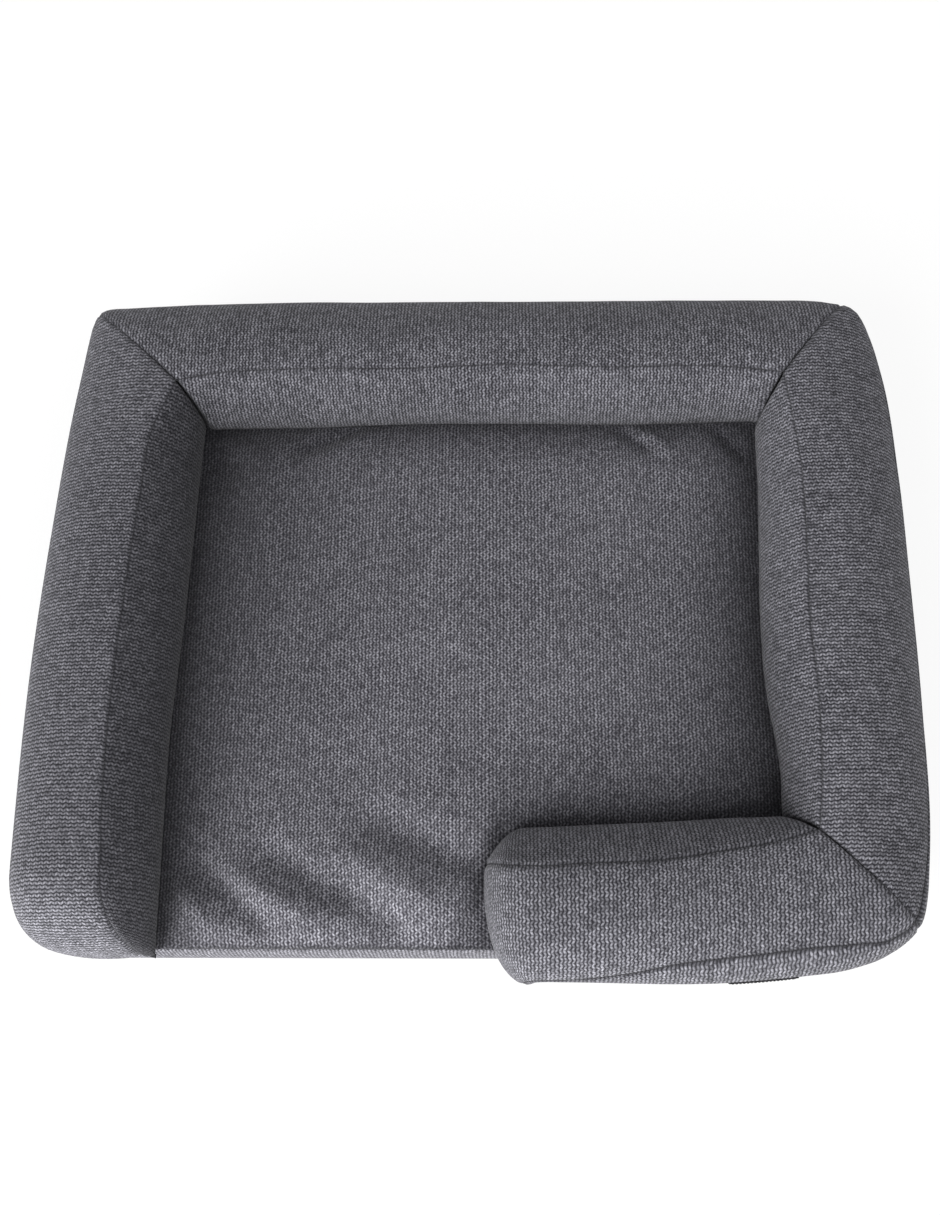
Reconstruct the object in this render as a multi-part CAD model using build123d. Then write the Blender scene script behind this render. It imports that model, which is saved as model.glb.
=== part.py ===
from build123d import *
import math
import os

# Dog bed: a foam mattress layer with fibre-filled bolsters on the left, the back, the right
# and half of the front. All lengths are millimetres. X runs across the bed, -Y is the side
# that the dog walks in from, Z is up and the floor is at zero.

# Overall size, from outer face to outer face
bed_width = 914.0
bed_depth = 740.0

# Fabric and gaps
fabric_thickness = 2.0
seam_gap = 0.3
overrun = 20.0

# Mattress layer
mattress_height = 78.0
mattress_corner_radius = 45.0
band_bulge = 4.0
band_spans = 4
base_thickness = 2.0
wadding_thickness = 3.0
liner_thickness = 0.8
liner_room = 2.0
foam_clearance = 0.4
crown_rise = 11.0

# Bolster section: inset from the outer face, rise above the mattress, and arc heights
bolster_overhang = 34.0
bolster_width = 150.0
bulge_rise = 30.0
inner_seam_inset = 110.0
inner_seam_rise = 86.0
underside_sag = 6.0
inner_sag = 12.0

# Outer seam: on top of the front bolster, and low on the outside of the other three
front_seam_inset = 32.0
front_seam_rise = 74.0
front_outer_sag = 9.0
front_top_sag = 10.0
low_seam_inset = 14.0
low_seam_rise = 60.0
low_outer_sag = 4.0
low_top_sag = 15.0

# How far the stuffed corners draw in, over what length, and the steps of a rounded free end
corner_draw = 16.0
draw_length = 220.0
end_steps = 4

# Room between the fabric and the bagged fibre filling
fill_clearance = 0.4

# Free ends: the tip of the left arm in front of the mattress edge, and of the front bolster
left_tip_reach = 10.0
front_bolster_length = 444.0

# Crown of the sleeping surface: share of the full rise that is left at its edge
crown_edge_share = 0.12
crown_steps = 5

# Zip in the back band
zip_length = 560.0
zip_height = 38.0
zip_slot_half = 7.0
tape_reach = 13.0
tape_thickness = 0.8
tooth_pitch = 7.0
tooth_width = 4.0
tooth_tip_gap = 0.8
tooth_root = 3.3
spine_edge = 4.8
tooth_thickness = 4.4
stop_length = 4.0

# Slider and pull
slider_length = 14.0
slider_half_width = 6.3
slider_nose_half_width = 4.6
slider_wall = 1.5
slider_clearance = 0.4
flange_thickness = 0.8
bridge_length = 4.0
bridge_half_thickness = 0.4
lug_thickness = 1.2
lug_length = 4.0
lug_gap = 4.2
pin_radius = 0.9
eye_bore_radius = 1.3
eye_radius = 2.2
pull_length = 25.0
pull_width = 8.0
pull_thickness = 1.8
pull_hole_length = 10.0
pull_hole_width = 3.4
pull_clearance = 0.4

# Plain sewn patch on the front bolster
patch_length = 66.0
patch_thickness = 1.0
patch_from_corner = 142.0
patch_low_share = 0.14
patch_high_share = 0.54

# Places that follow from the sizes
half_width = bed_width / 2
half_depth = bed_depth / 2
deck_z = mattress_height
rest_z = deck_z + seam_gap
mattress_half_x = half_width - bolster_overhang
mattress_half_y = half_depth - bolster_overhang
well_half_x = half_width - bolster_width - corner_draw
well_half_y = half_depth - bolster_width - corner_draw
entry_edge_x = half_width - front_bolster_length


# Flat geometry of the bolster section

def arc_circle(start, end, sag):
    """Centre and radius of the arc that rises by sag on the left of the line start to end."""
    chord = math.dist(start, end)
    radius = (chord * chord / 4 + sag * sag) / (2 * sag)
    middle = ((start[0] + end[0]) / 2, (start[1] + end[1]) / 2)
    normal = (-(end[1] - start[1]) / chord, (end[0] - start[0]) / chord)
    depth = radius - sag
    return (middle[0] - normal[0] * depth, middle[1] - normal[1] * depth), radius


def crossing(first, second, near):
    """The crossing of two circles that lies nearest to a point."""
    (x1, y1), r1 = first
    (x2, y2), r2 = second
    apart = math.hypot(x2 - x1, y2 - y1)
    along = (r1 * r1 - r2 * r2 + apart * apart) / (2 * apart)
    aside = math.sqrt(max(r1 * r1 - along * along, 0))
    ux, uy = (x2 - x1) / apart, (y2 - y1) / apart
    spots = [(x1 + along * ux - side * aside * uy, y1 + along * uy + side * aside * ux) for side in (1, -1)]
    return min(spots, key=lambda spot: math.dist(spot, near))


def at_height(circle, height, near):
    """The point of a circle at a height, on the side of a given point."""
    (x, y), radius = circle
    aside = math.sqrt(max(radius * radius - (height - y) ** 2, 0))
    return min([(x + aside, height), (x - aside, height)], key=lambda spot: math.dist(spot, near))


def slide_along(circle, point, distance):
    """A point moved clockwise along its circle by a distance."""
    (x, y), radius = circle
    angle = math.atan2(point[1] - y, point[0] - x) - distance / radius
    return x + radius * math.cos(angle), y + radius * math.sin(angle)


def middle_of(circle, start, end):
    """The middle of the short clockwise arc from start to end."""
    (x, y), radius = circle
    first = math.atan2(start[1] - y, start[0] - x)
    last = math.atan2(end[1] - y, end[0] - x)
    if last > first:
        last -= 2 * math.pi
    angle = (first + last) / 2
    return x + radius * math.cos(angle), y + radius * math.sin(angle)


class Section:
    """The bolster's outline square to its length: underside, outer face, top and inner face."""

    def __init__(self, seam_inset, seam_rise, outer_sag, top_sag):
        self.corners = [
            (bolster_overhang, rest_z),
            (0, rest_z + bulge_rise),
            (seam_inset, rest_z + seam_rise),
            (inner_seam_inset, rest_z + inner_seam_rise),
            (bolster_width, rest_z),
        ]
        sags = [underside_sag, outer_sag, top_sag, inner_sag]
        self.circles = [arc_circle(self.corners[i], self.corners[i + 1], sags[i]) for i in range(len(sags))]

    def height(self):
        (centre_u, centre_z), radius = self.circles[2]
        return centre_z + radius - deck_z

    def inside(self, depth, lift=0.0):
        """The circles and corners of the outline drawn inwards by a depth."""
        circles = [(centre, radius - depth) for centre, radius in self.circles]
        first = at_height(circles[0], rest_z + lift, self.corners[0])
        last = at_height(circles[-1], rest_z + lift, self.corners[-1])
        between = [crossing(circles[i], circles[i + 1], self.corners[i + 1]) for i in range(len(circles) - 1)]
        return circles, [first] + between + [last]

    def strip(self, first, last, depth_out, depth_in):
        """The face of a fabric strip over the arcs first to last, between two depths."""
        out_circles, out_points = self.inside(depth_out)
        in_circles, in_points = self.inside(depth_in)
        out_path = arc_path(out_circles, out_points, first, last)
        in_path = arc_path(in_circles, in_points, first, last)
        edges = arcs_to_edges(out_path)
        edges.append(Edge.make_line(flat(out_path[-1][2]), flat(in_path[-1][2])))
        edges += arcs_to_edges(in_path)
        edges.append(Edge.make_line(flat(in_path[0][0]), flat(out_path[0][0])))
        return Face(Wire(edges))

    def block(self, depth):
        """The closed face of the filling at a depth inside the outline."""
        circles, points = self.inside(depth, depth - fabric_thickness)
        path = [(points[i], middle_of(circles[i], points[i], points[i + 1]), points[i + 1])
                for i in range(len(circles))]
        edges = arcs_to_edges(path)
        edges.append(Edge.make_line(flat(points[-1]), flat(points[0])))
        return Face(Wire(edges))


def flat(point):
    return Vector(point[0], point[1], 0)


def arc_path(circles, points, first, last):
    """Arcs first to last as start, middle and end, with half a seam gap left at both ends."""
    path = []
    for i in range(first, last + 1):
        start, end = points[i], points[i + 1]
        if i == first and i > 0:
            start = slide_along(circles[i], start, seam_gap / 2)
        if i == last and i < len(circles) - 1:
            end = slide_along(circles[i], end, -seam_gap / 2)
        path.append((start, middle_of(circles[i], start, end), end))
    return path


def arcs_to_edges(path):
    return [Edge.make_three_point_arc(flat(a), flat(b), flat(c)) for a, b, c in path]


class Bolster:
    """One bolster: where it starts, the way it runs, the way to the well, and its two ends.

    The same section is carried along a line that draws in towards each stuffed corner. At a free
    end the section turns down to the mattress about its own foot, in straight wedges.
    """

    def __init__(self, name, section, start, run, inward, length, free_end):
        self.name = name
        self.start = Vector(*start)
        self.run = Vector(*run)
        self.inward = Vector(*inward)
        self.length = length
        self.free_end = free_end
        self.section = section

    def point(self, along, across, height=0.0):
        return self.start + self.run * along + self.inward * across + Vector(0, 0, height)

    def prism(self, face, foot, heading, back, ahead):
        """The face carried straight along a heading, from behind a foot to ahead of it."""
        side = heading.cross(Vector(0, 0, 1))
        if side.dot(self.inward) < 0:
            side = side * -1
        plane = Plane(origin=foot - heading * back, x_dir=side, z_dir=side.cross(Vector(0, 0, 1)))
        return Solid.extrude(plane * face, heading * (back + ahead))

    def drawn_end(self, face, corner_along, outward):
        """The stretch that draws in to a mitred corner, cut at its bend."""
        foot = self.point(corner_along, 0) - outward * draw_length
        heading = (outward * draw_length + self.inward * corner_draw).normalized()
        bend = Plane(origin=foot, z_dir=(heading + outward).normalized())
        return split(self.prism(face, foot, heading, overrun, draw_length + overrun), bisect_by=bend, keep=Keep.TOP)

    def upright(self, along):
        """The plane of the section at a distance along the bolster."""
        return Plane(origin=self.point(along, 0), x_dir=self.inward, z_dir=self.inward.cross(Vector(0, 0, 1)))

    def fan_cut(self, foot, angle):
        """The plane through the foot of the free end at an angle, facing the way down."""
        heading = self.run * -math.cos(angle) - Vector(0, 0, math.sin(angle))
        return Plane(origin=foot, z_dir=heading)

    def fan(self, face, start):
        """The wedges of a free end: each is straight, and the last half wedge ends on the mattress."""
        foot = self.point(start, 0, deck_z)
        half_turn = math.pi / end_steps / 4
        reach = 2 * start * math.tan(half_turn)
        slab_of_face = Solid.extrude(self.upright(start + reach) * face, self.run * -2 * reach)
        half_wedge = split(slab_of_face, bisect_by=self.fan_cut(foot, -half_turn), keep=Keep.TOP)
        wedge = split(half_wedge, bisect_by=self.fan_cut(foot, half_turn), keep=Keep.BOTTOM)
        half_wedge = split(half_wedge, bisect_by=self.fan_cut(foot, 0), keep=Keep.BOTTOM)
        hinge = Axis(foot, self.run.cross(Vector(0, 0, 1)))
        body = half_wedge.rotate(hinge, 90)
        for step in range(1, end_steps):
            body += wedge.rotate(hinge, 90 * step / end_steps)
        first = split(slab_of_face, bisect_by=self.fan_cut(foot, half_turn), keep=Keep.BOTTOM)
        return body + first

    def sweep(self, face):
        """The face carried along the bolster, and turned down at a free end."""
        heading = (self.run * draw_length + self.inward * corner_draw).normalized()
        bend = Plane(origin=self.point(self.length - draw_length, 0), z_dir=(heading + self.run).normalized() * -1)
        first = self.section.height() if self.free_end else draw_length
        middle = self.prism(face, self.point(first, 0), self.run, 0 if self.free_end else overrun,
                            self.length - draw_length - first + overrun)
        body = split(middle, bisect_by=bend, keep=Keep.TOP) + self.drawn_end(face, self.length, self.run)
        if self.free_end:
            return body + self.fan(face, first)
        heading = (self.run * -draw_length + self.inward * corner_draw).normalized()
        bend = Plane(origin=self.point(draw_length, 0), z_dir=(heading - self.run).normalized() * -1)
        return split(body, bisect_by=bend, keep=Keep.TOP) + self.drawn_end(face, 0, self.run * -1)

    def mitres(self, gap):
        """The planes of the corner seams, each facing the part that stays."""
        ends = [(self.length, self.run * -1)]
        if not self.free_end:
            ends.append((0, self.run))
        planes = []
        for distance, keep in ends:
            corner = self.start + self.run * distance
            normal = (keep - self.inward).normalized()
            planes.append(Plane(origin=corner + normal * gap, z_dir=normal))
        return planes

    def trimmed(self, body, gap):
        for plane in self.mitres(gap):
            body = split(body, bisect_by=plane, keep=Keep.TOP)
        return body

    def panel(self, first, last):
        body = self.sweep(self.section.strip(first, last, 0, fabric_thickness))
        return self.trimmed(body, seam_gap / 2)

    def filling(self, depth):
        return self.trimmed(self.sweep(self.section.block(depth)), depth)


def patch_face(section):
    """The thin face of the patch: a stretch of the outer arc, just outside the fabric."""
    centre, radius = section.circles[1]
    first, last = section.corners[1], section.corners[2]
    start = math.atan2(first[1] - centre[1], first[0] - centre[0]) % (2 * math.pi)
    turn = (start - math.atan2(last[1] - centre[1], last[0] - centre[0])) % (2 * math.pi)
    shares = (patch_low_share, (patch_low_share + patch_high_share) / 2, patch_high_share)
    rims = []
    for rim in (radius + seam_gap + patch_thickness, radius + seam_gap):
        angles = [start - turn * share for share in shares]
        rims.append([Vector(centre[0] + rim * math.cos(a), centre[1] + rim * math.sin(a), 0) for a in angles])
    outer, inner = rims
    return Face(Wire([
        Edge.make_three_point_arc(*outer),
        Edge.make_line(outer[2], inner[2]),
        Edge.make_three_point_arc(*reversed(inner)),
        Edge.make_line(inner[0], outer[0]),
    ]))


def make_patch(bolster):
    """The patch follows the front bolster's outer panel, cut to its own length."""
    middle = bolster.point(bolster.length - patch_from_corner - patch_length / 2, 0, 0)
    window = Pos(middle.X, middle.Y, deck_z + bulge_rise) * Box(patch_length, 2 * bolster_width, 2 * bolster_width)
    return bolster.sweep(patch_face(bolster.section)) & window


def make_bolsters():
    low = Section(low_seam_inset, low_seam_rise, low_outer_sag, low_top_sag)
    high = Section(front_seam_inset, front_seam_rise, front_outer_sag, front_top_sag)
    left_length = bed_depth - (half_depth - mattress_half_y) + left_tip_reach
    left_start = (-half_width, half_depth - left_length, 0)
    front_start = (entry_edge_x, -half_depth, 0)
    return [
        Bolster("left", low, left_start, (0, 1, 0), (1, 0, 0), left_length, True),
        Bolster("back", low, (-half_width, half_depth, 0), (1, 0, 0), (0, -1, 0), bed_width, False),
        Bolster("right", low, (half_width, half_depth, 0), (0, -1, 0), (-1, 0, 0), bed_depth, False),
        Bolster("front", high, front_start, (1, 0, 0), (0, 1, 0), front_bolster_length, True),
    ]


def bolster_parts(bolster):
    return {
        bolster.name + "_outer_panel": bolster.panel(0, 1),
        bolster.name + "_top_panel": bolster.panel(2, 2),
        bolster.name + "_inner_panel": bolster.panel(3, 3),
        bolster.name + "_fibre_fill": bolster.filling(fabric_thickness + fill_clearance),
    }


# Mattress layer

def mattress_block(inset, low, high):
    """A block of the mattress outline, drawn in by an inset, between two heights."""
    outline = RectangleRounded(2 * (mattress_half_x - inset), 2 * (mattress_half_y - inset),
                               mattress_corner_radius - inset)
    return Pos(0, 0, low) * extrude(outline, high - low)


def sleep_area(low, high, inset):
    """The L-shaped prism over the well and the entry, drawn in by an inset."""
    points = [
        (-well_half_x + inset, well_half_y - inset),
        (well_half_x - inset, well_half_y - inset),
        (well_half_x - inset, -well_half_y + inset),
        (entry_edge_x - inset, -well_half_y + inset),
        (entry_edge_x - inset, -mattress_half_y - overrun),
        (-well_half_x + inset, -mattress_half_y - overrun),
    ]
    return Pos(0, 0, low) * extrude(make_face(Polyline(*points, close=True)), high - low)


def crown_at(rise, y):
    """Height of the crown above its edge, on the arc from the front edge to the back crease."""
    circle = arc_circle((-mattress_half_y, 0), (well_half_y - seam_gap, 0), rise)
    (centre_y, centre_z), radius = circle
    return centre_z + math.sqrt(radius * radius - (y - centre_y) ** 2)


def crown_slice(x, front_y, front_lift, rise, thickness, top):
    """A thin slice across the crown at x: an arc over an arc, one thickness apart."""
    back_y = well_half_y - seam_gap
    middle_y = (front_y + back_y) / 2
    ends = [(front_y, top + front_lift), (middle_y, top + rise), (back_y, top)]
    upper = [Vector(x, y, z) for y, z in ends]
    lower = [Vector(x, y, z - thickness) for y, z in ends]
    return Face(Wire([
        Edge.make_three_point_arc(*upper),
        Edge.make_line(upper[2], lower[2]),
        Edge.make_three_point_arc(*reversed(lower)),
        Edge.make_line(lower[0], upper[0]),
    ]))


def crown_share(part):
    """Share of the full rise at a part of the way from the middle of the well to its side."""
    return crown_edge_share + (1 - crown_edge_share) * (1 - part ** 3)


def crown_sheet(thickness, top):
    """The crowned sheet over the well and the entry, as two lofts that share a section."""
    side_x = well_half_x - seam_gap
    split_x = entry_edge_x - seam_gap
    front_y = -mattress_half_y
    crease_y = -well_half_y + seam_gap
    left = []
    right = []
    lift = crown_at(crown_rise, crease_y)
    middle = crown_at(crown_rise, (crease_y + well_half_y - seam_gap) / 2)
    for step in range(crown_steps + 1):
        part = step / crown_steps
        share = crown_share(part)
        left.append(crown_slice(split_x - part * (side_x + split_x), front_y, 0, crown_rise * share, thickness, top))
        right_x = split_x + part * (side_x - split_x)
        right.append(crown_slice(right_x, crease_y, lift * (1 - part) ** 2, middle * share, thickness, top))
    return loft(left, ruled=True) + loft(right, ruled=True)


def band_section(distance_in):
    """The face of a side band in a plane with x outwards, drawn in from the mattress edge."""
    low = base_thickness + seam_gap
    high = deck_z - fabric_thickness - seam_gap
    outer = []
    for step in range(band_spans + 1):
        height = low + (high - low) * step / band_spans
        outer.append((distance_in + band_bulge_at(height - (low + high) / 2), height))
    inner = [(x - fabric_thickness, height) for x, height in reversed(outer)]
    return make_face(Polyline(*outer, *inner, close=True))


def straight_band(outward, edge_distance, half_length):
    """A band along one straight side of the mattress."""
    along = Vector(*outward).cross(Vector(0, 0, 1))
    plane = Plane(origin=along * -half_length, x_dir=Vector(*outward), z_dir=along)
    return extrude(plane * band_section(edge_distance), 2 * half_length)


def corner_band(side_x, side_y):
    """A quarter turn of band round one mattress corner."""
    radius = mattress_corner_radius
    centre = Vector(side_x * (mattress_half_x - radius), side_y * (mattress_half_y - radius), 0)
    start = Plane(origin=centre, x_dir=Vector(side_x, 0, 0), z_dir=Vector(0, -side_x, 0))
    return revolve(start * band_section(radius), axis=Axis(centre, (0, 0, 1)),
                   revolution_arc=90 * side_x * side_y)


def band_bulge_at(above_middle):
    """How far a band stands out from the mattress edge at a height from its own middle."""
    half = (deck_z - fabric_thickness - base_thickness) / 2 - seam_gap
    radius = (half * half + band_bulge * band_bulge) / (2 * band_bulge)
    return band_bulge - radius + math.sqrt(radius * radius - above_middle * above_middle)


def make_mattress():
    liner_inset = fabric_thickness + liner_room
    liner_low = base_thickness + seam_gap
    liner_high = deck_z - fabric_thickness - wadding_thickness - 2 * seam_gap
    cavity_inset = liner_inset + liner_thickness
    foam_inset = cavity_inset + foam_clearance
    liner = mattress_block(liner_inset, liner_low, liner_high)
    liner -= mattress_block(cavity_inset, liner_low + liner_thickness, liner_high - liner_thickness)
    foam_gap = liner_thickness + foam_clearance
    straight_x = mattress_half_x - mattress_corner_radius
    straight_y = mattress_half_y - mattress_corner_radius
    sheet_top = deck_z
    wadding_top = deck_z - fabric_thickness - seam_gap
    wadding = mattress_block(liner_inset, wadding_top - wadding_thickness, wadding_top)
    wadding += crown_sheet(wadding_thickness, wadding_top) & mattress_block(liner_inset, 0, 2 * deck_z)
    deck = mattress_block(0, deck_z - fabric_thickness, deck_z) - sleep_area(0, 2 * deck_z, 0)
    parts = {
        "base_panel": mattress_block(0, 0, base_thickness),
        "mattress_foam": mattress_block(foam_inset, liner_low + foam_gap, liner_high - foam_gap),
        "mattress_liner": liner,
        "top_wadding": wadding,
        "deck_panel": deck,
        "sleep_panel": crown_sheet(fabric_thickness, sheet_top),
        "front_band": straight_band((0, -1, 0), mattress_half_y, straight_x - seam_gap),
        "left_band": straight_band((-1, 0, 0), mattress_half_x, straight_y)
        + corner_band(-1, 1) + corner_band(-1, -1),
        "right_band": straight_band((1, 0, 0), mattress_half_x, straight_y)
        + corner_band(1, 1) + corner_band(1, -1),
    }
    slot = Box(zip_length + 2 * stop_length, 2 * overrun, 2 * zip_slot_half)
    back = straight_band((0, 1, 0), mattress_half_y, straight_x - seam_gap)
    parts["back_band"] = back - Pos(0, mattress_half_y, zip_height) * slot
    return parts


# Zip in the back band: the chain runs along X and its outside faces +Y

span_height = (deck_z - fabric_thickness - base_thickness) / band_spans
tape_out = mattress_half_y - fabric_thickness + band_bulge_at(span_height) - seam_gap
tape_in = tape_out - tape_thickness
tooth_out = (tape_out + tape_in + tooth_thickness) / 2
tooth_in = tooth_out - tooth_thickness
front_plate_in = tooth_out + slider_clearance
front_plate_out = front_plate_in + slider_wall
back_plate_in = tooth_in - slider_clearance
back_plate_out = back_plate_in - slider_wall
pin_y = front_plate_out + pull_clearance + eye_radius
slider_end = zip_length / 2 - stop_length - slider_clearance
slider_start = slider_end - slider_length
lug_x = slider_start + slider_length / 2


def slab(points, low_y, high_y):
    """A flat piece whose outline lies in the plane of the zip, between two depths."""
    plane = Plane(origin=(0, high_y, zip_height), x_dir=(1, 0, 0), z_dir=(0, -1, 0))
    return extrude(plane * make_face(Polyline(*points, close=True)), high_y - low_y)


def block(low_x, high_x, low_y, high_y, low_z, high_z):
    """A box between two corners, with heights counted from the middle of the chain."""
    return slab([(low_x, low_z), (high_x, low_z), (high_x, high_z), (low_x, high_z)], low_y, high_y)


def tooth_row(side):
    """One comb of teeth: a spine on the tape's edge with a tooth at every pitch."""
    half = zip_length / 2 - stop_length
    count = int(2 * half / tooth_pitch)
    first = -count * tooth_pitch / 2 + (tooth_pitch / 2 if side > 0 else 0)
    half_tooth = tooth_width / 2
    points = [(-half, side * spine_edge), (-half, side * tooth_root)]
    for number in range(count):
        middle = first + number * tooth_pitch + tooth_pitch / 4
        points += [
            (middle - half_tooth, side * tooth_root),
            (middle - half_tooth, side * tooth_tip_gap),
            (middle + half_tooth, side * tooth_tip_gap),
            (middle + half_tooth, side * tooth_root),
        ]
    points += [(half, side * tooth_root), (half, side * spine_edge)]
    return slab(points, tooth_in, tooth_out)


def slider_plate():
    """The outline of a slider plate: broad at the mouth where the two rows part."""
    nose = slider_start
    mouth = slider_end
    shoulder = (nose + mouth) / 2
    return [
        (nose, -slider_nose_half_width), (shoulder, -slider_half_width), (mouth, -slider_half_width),
        (mouth, slider_half_width), (shoulder, slider_half_width), (nose, slider_nose_half_width),
    ]


def make_slider():
    """Two plates round the chain, held by a thin bridge, with flanges over the tapes and two lugs."""
    shoulder = (slider_start + slider_end) / 2
    slider = slab(slider_plate(), front_plate_in, front_plate_out)
    slider += slab(slider_plate(), back_plate_out, back_plate_in)
    slider += block(slider_end - bridge_length, slider_end, back_plate_in, front_plate_in,
                    -bridge_half_thickness, bridge_half_thickness)
    for side in (1, -1):
        edges = sorted((side * slider_half_width, side * (slider_half_width - flange_thickness)))
        slider += block(shoulder, slider_end, tape_out + slider_clearance, front_plate_in, *edges)
        slider += block(shoulder, slider_end, back_plate_in, tape_in - slider_clearance, *edges)
        lug = sorted((side * lug_gap / 2, side * (lug_gap / 2 + lug_thickness)))
        slider += block(lug_x - lug_length / 2, lug_x + lug_length / 2, front_plate_out,
                        pin_y + pin_radius + lug_thickness / 2, *lug)
    pin_half = lug_gap / 2 + lug_thickness / 2
    pin = Pos(lug_x, pin_y, zip_height) * Cylinder(pin_radius, 2 * pin_half)
    return slider + pin


def make_pull():
    """A flat tab with an eye round the slider's pin and a slot near its free end."""
    far = lug_x - pull_length
    neck = lug_x - eye_radius - pull_clearance - lug_length / 2
    half_neck = lug_gap / 2 - pull_clearance
    half = pull_width / 2
    low = pin_y - pull_thickness / 2
    high = pin_y + pull_thickness / 2
    tab = slab([(far, -half + half_neck), (far + half_neck, -half), (neck - half_neck, -half),
                (neck, -half_neck), (lug_x, -half_neck), (lug_x, half_neck), (neck, half_neck),
                (neck - half_neck, half), (far + half_neck, half), (far, half - half_neck)], low, high)
    tab += Pos(lug_x, pin_y, zip_height) * Cylinder(eye_radius, 2 * half_neck)
    tab -= Pos(lug_x, pin_y, zip_height) * Cylinder(eye_bore_radius, 2 * pull_width)
    slot_middle = far + half_neck + pull_hole_length / 2
    slot = Pos(slot_middle, pin_y, zip_height) * Rot(90, 0, 0)
    return tab - slot * extrude(SlotOverall(pull_hole_length, pull_hole_width), 2 * pull_thickness, both=True)


def make_zip():
    half = zip_length / 2
    return {
        "zip_tape_upper": block(-half, half, tape_in, tape_out, spine_edge, tape_reach),
        "zip_tape_lower": block(-half, half, tape_in, tape_out, -tape_reach, -spine_edge),
        "zip_teeth_upper": tooth_row(1),
        "zip_teeth_lower": tooth_row(-1),
        "zip_stop_left": block(-half, -half + stop_length, tooth_in, tooth_out,
                               -spine_edge, spine_edge),
        "zip_stop_right": block(half - stop_length, half, tooth_in, tooth_out,
                                -spine_edge, spine_edge),
        "zip_slider": make_slider(),
        "zip_pull": make_pull(),
    }


parts = {}
for bolster in make_bolsters():
    parts.update(bolster_parts(bolster))
parts["sewn_patch"] = make_patch(make_bolsters()[-1])
parts.update(make_mattress())
parts.update(make_zip())

os.makedirs("parts", exist_ok=True)
for name, shape in parts.items():
    solids = shape.solids()
    assert len(solids) == 1, name + " is not one solid"
    export_step(solids[0], os.path.join("parts", name + ".step"))
print(len(parts), "pieces, slider travel", round(2 * slider_end - slider_length, 1), "pin at",
      round(lug_x, 2), round(pin_y, 2), zip_height)
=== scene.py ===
# %% [markdown]
# A dog bed seen from above its open side: a soft mattress with stuffed bolsters round it.
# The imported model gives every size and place. This script dresses it: it opens the model first,
# keeps the box that the model fills, and then makes each cloth piece around the model's own.

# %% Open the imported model
import math

import bpy
import numpy as np
from mathutils import Matrix, Vector


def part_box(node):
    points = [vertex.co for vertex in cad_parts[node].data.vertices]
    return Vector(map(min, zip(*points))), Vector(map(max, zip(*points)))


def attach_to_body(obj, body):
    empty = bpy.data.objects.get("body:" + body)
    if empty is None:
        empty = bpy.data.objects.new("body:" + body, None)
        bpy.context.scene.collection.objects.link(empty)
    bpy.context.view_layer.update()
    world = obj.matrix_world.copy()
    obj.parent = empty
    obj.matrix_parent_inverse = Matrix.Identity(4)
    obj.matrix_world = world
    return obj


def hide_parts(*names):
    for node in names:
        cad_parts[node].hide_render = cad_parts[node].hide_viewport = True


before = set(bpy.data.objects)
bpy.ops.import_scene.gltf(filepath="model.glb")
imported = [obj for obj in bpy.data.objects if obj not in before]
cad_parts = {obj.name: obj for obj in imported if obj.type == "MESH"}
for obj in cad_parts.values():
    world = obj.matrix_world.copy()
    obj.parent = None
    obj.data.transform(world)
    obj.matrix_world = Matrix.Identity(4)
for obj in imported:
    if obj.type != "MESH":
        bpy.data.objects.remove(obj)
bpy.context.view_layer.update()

# %% [markdown]
# The picture was taken from high above the front edge, a little to the right of the middle, and
# the camera leaned over to its left. The place and the three turns were fitted to the corners of
# the seams. The lens is worked out from its length in picture units and the picture's long side.

# %% Camera
PICTURE_LONG_SIDE = 1215
SENSOR_WIDTH = 36.0
LENS_IN_PICTURE_UNITS = 1491.3
CAMERA_PLACE = Vector((0.0533, -0.4952, 1.5833))
CAMERA_PITCH, CAMERA_YAW, CAMERA_ROLL = math.radians(70.93), math.radians(-6.19), math.radians(-6.18)


def put(name, data):
    """A new object of some data, linked into the scene."""
    made = bpy.data.objects.new(name, data)
    bpy.context.scene.collection.objects.link(made)
    return made


def camera_turn(pitch, yaw, roll):
    """The camera's axes as a matrix: pitch is below the horizon, yaw to the right, roll as given."""
    ahead = Vector((math.sin(yaw) * math.cos(pitch), math.cos(yaw) * math.cos(pitch), -math.sin(pitch)))
    level = Vector((math.cos(yaw), -math.sin(yaw), 0))
    above = level.cross(ahead)
    side = level * math.cos(roll) + above * math.sin(roll)
    top = above * math.cos(roll) - level * math.sin(roll)
    return Matrix((side, top, -ahead)).transposed().to_4x4()


camera = put("camera", bpy.data.cameras.new("camera"))
camera.data.sensor_width = SENSOR_WIDTH
camera.data.lens = LENS_IN_PICTURE_UNITS * SENSOR_WIDTH / PICTURE_LONG_SIDE
camera.matrix_world = Matrix.Translation(CAMERA_PLACE) @ camera_turn(CAMERA_PITCH, CAMERA_YAW, CAMERA_ROLL)
bpy.context.scene.camera = camera
bpy.context.scene.view_settings.view_transform = "Standard"
print("lens:", round(camera.data.lens, 1), "mm")

# %% [markdown]
# A shader is easier to read as sums than as a page of nodes. One small class wraps a socket, so
# that plus, minus, times and divide add the nodes for them. Every other node comes from one
# method that takes its type, its settings and what goes into its sockets.

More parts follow.
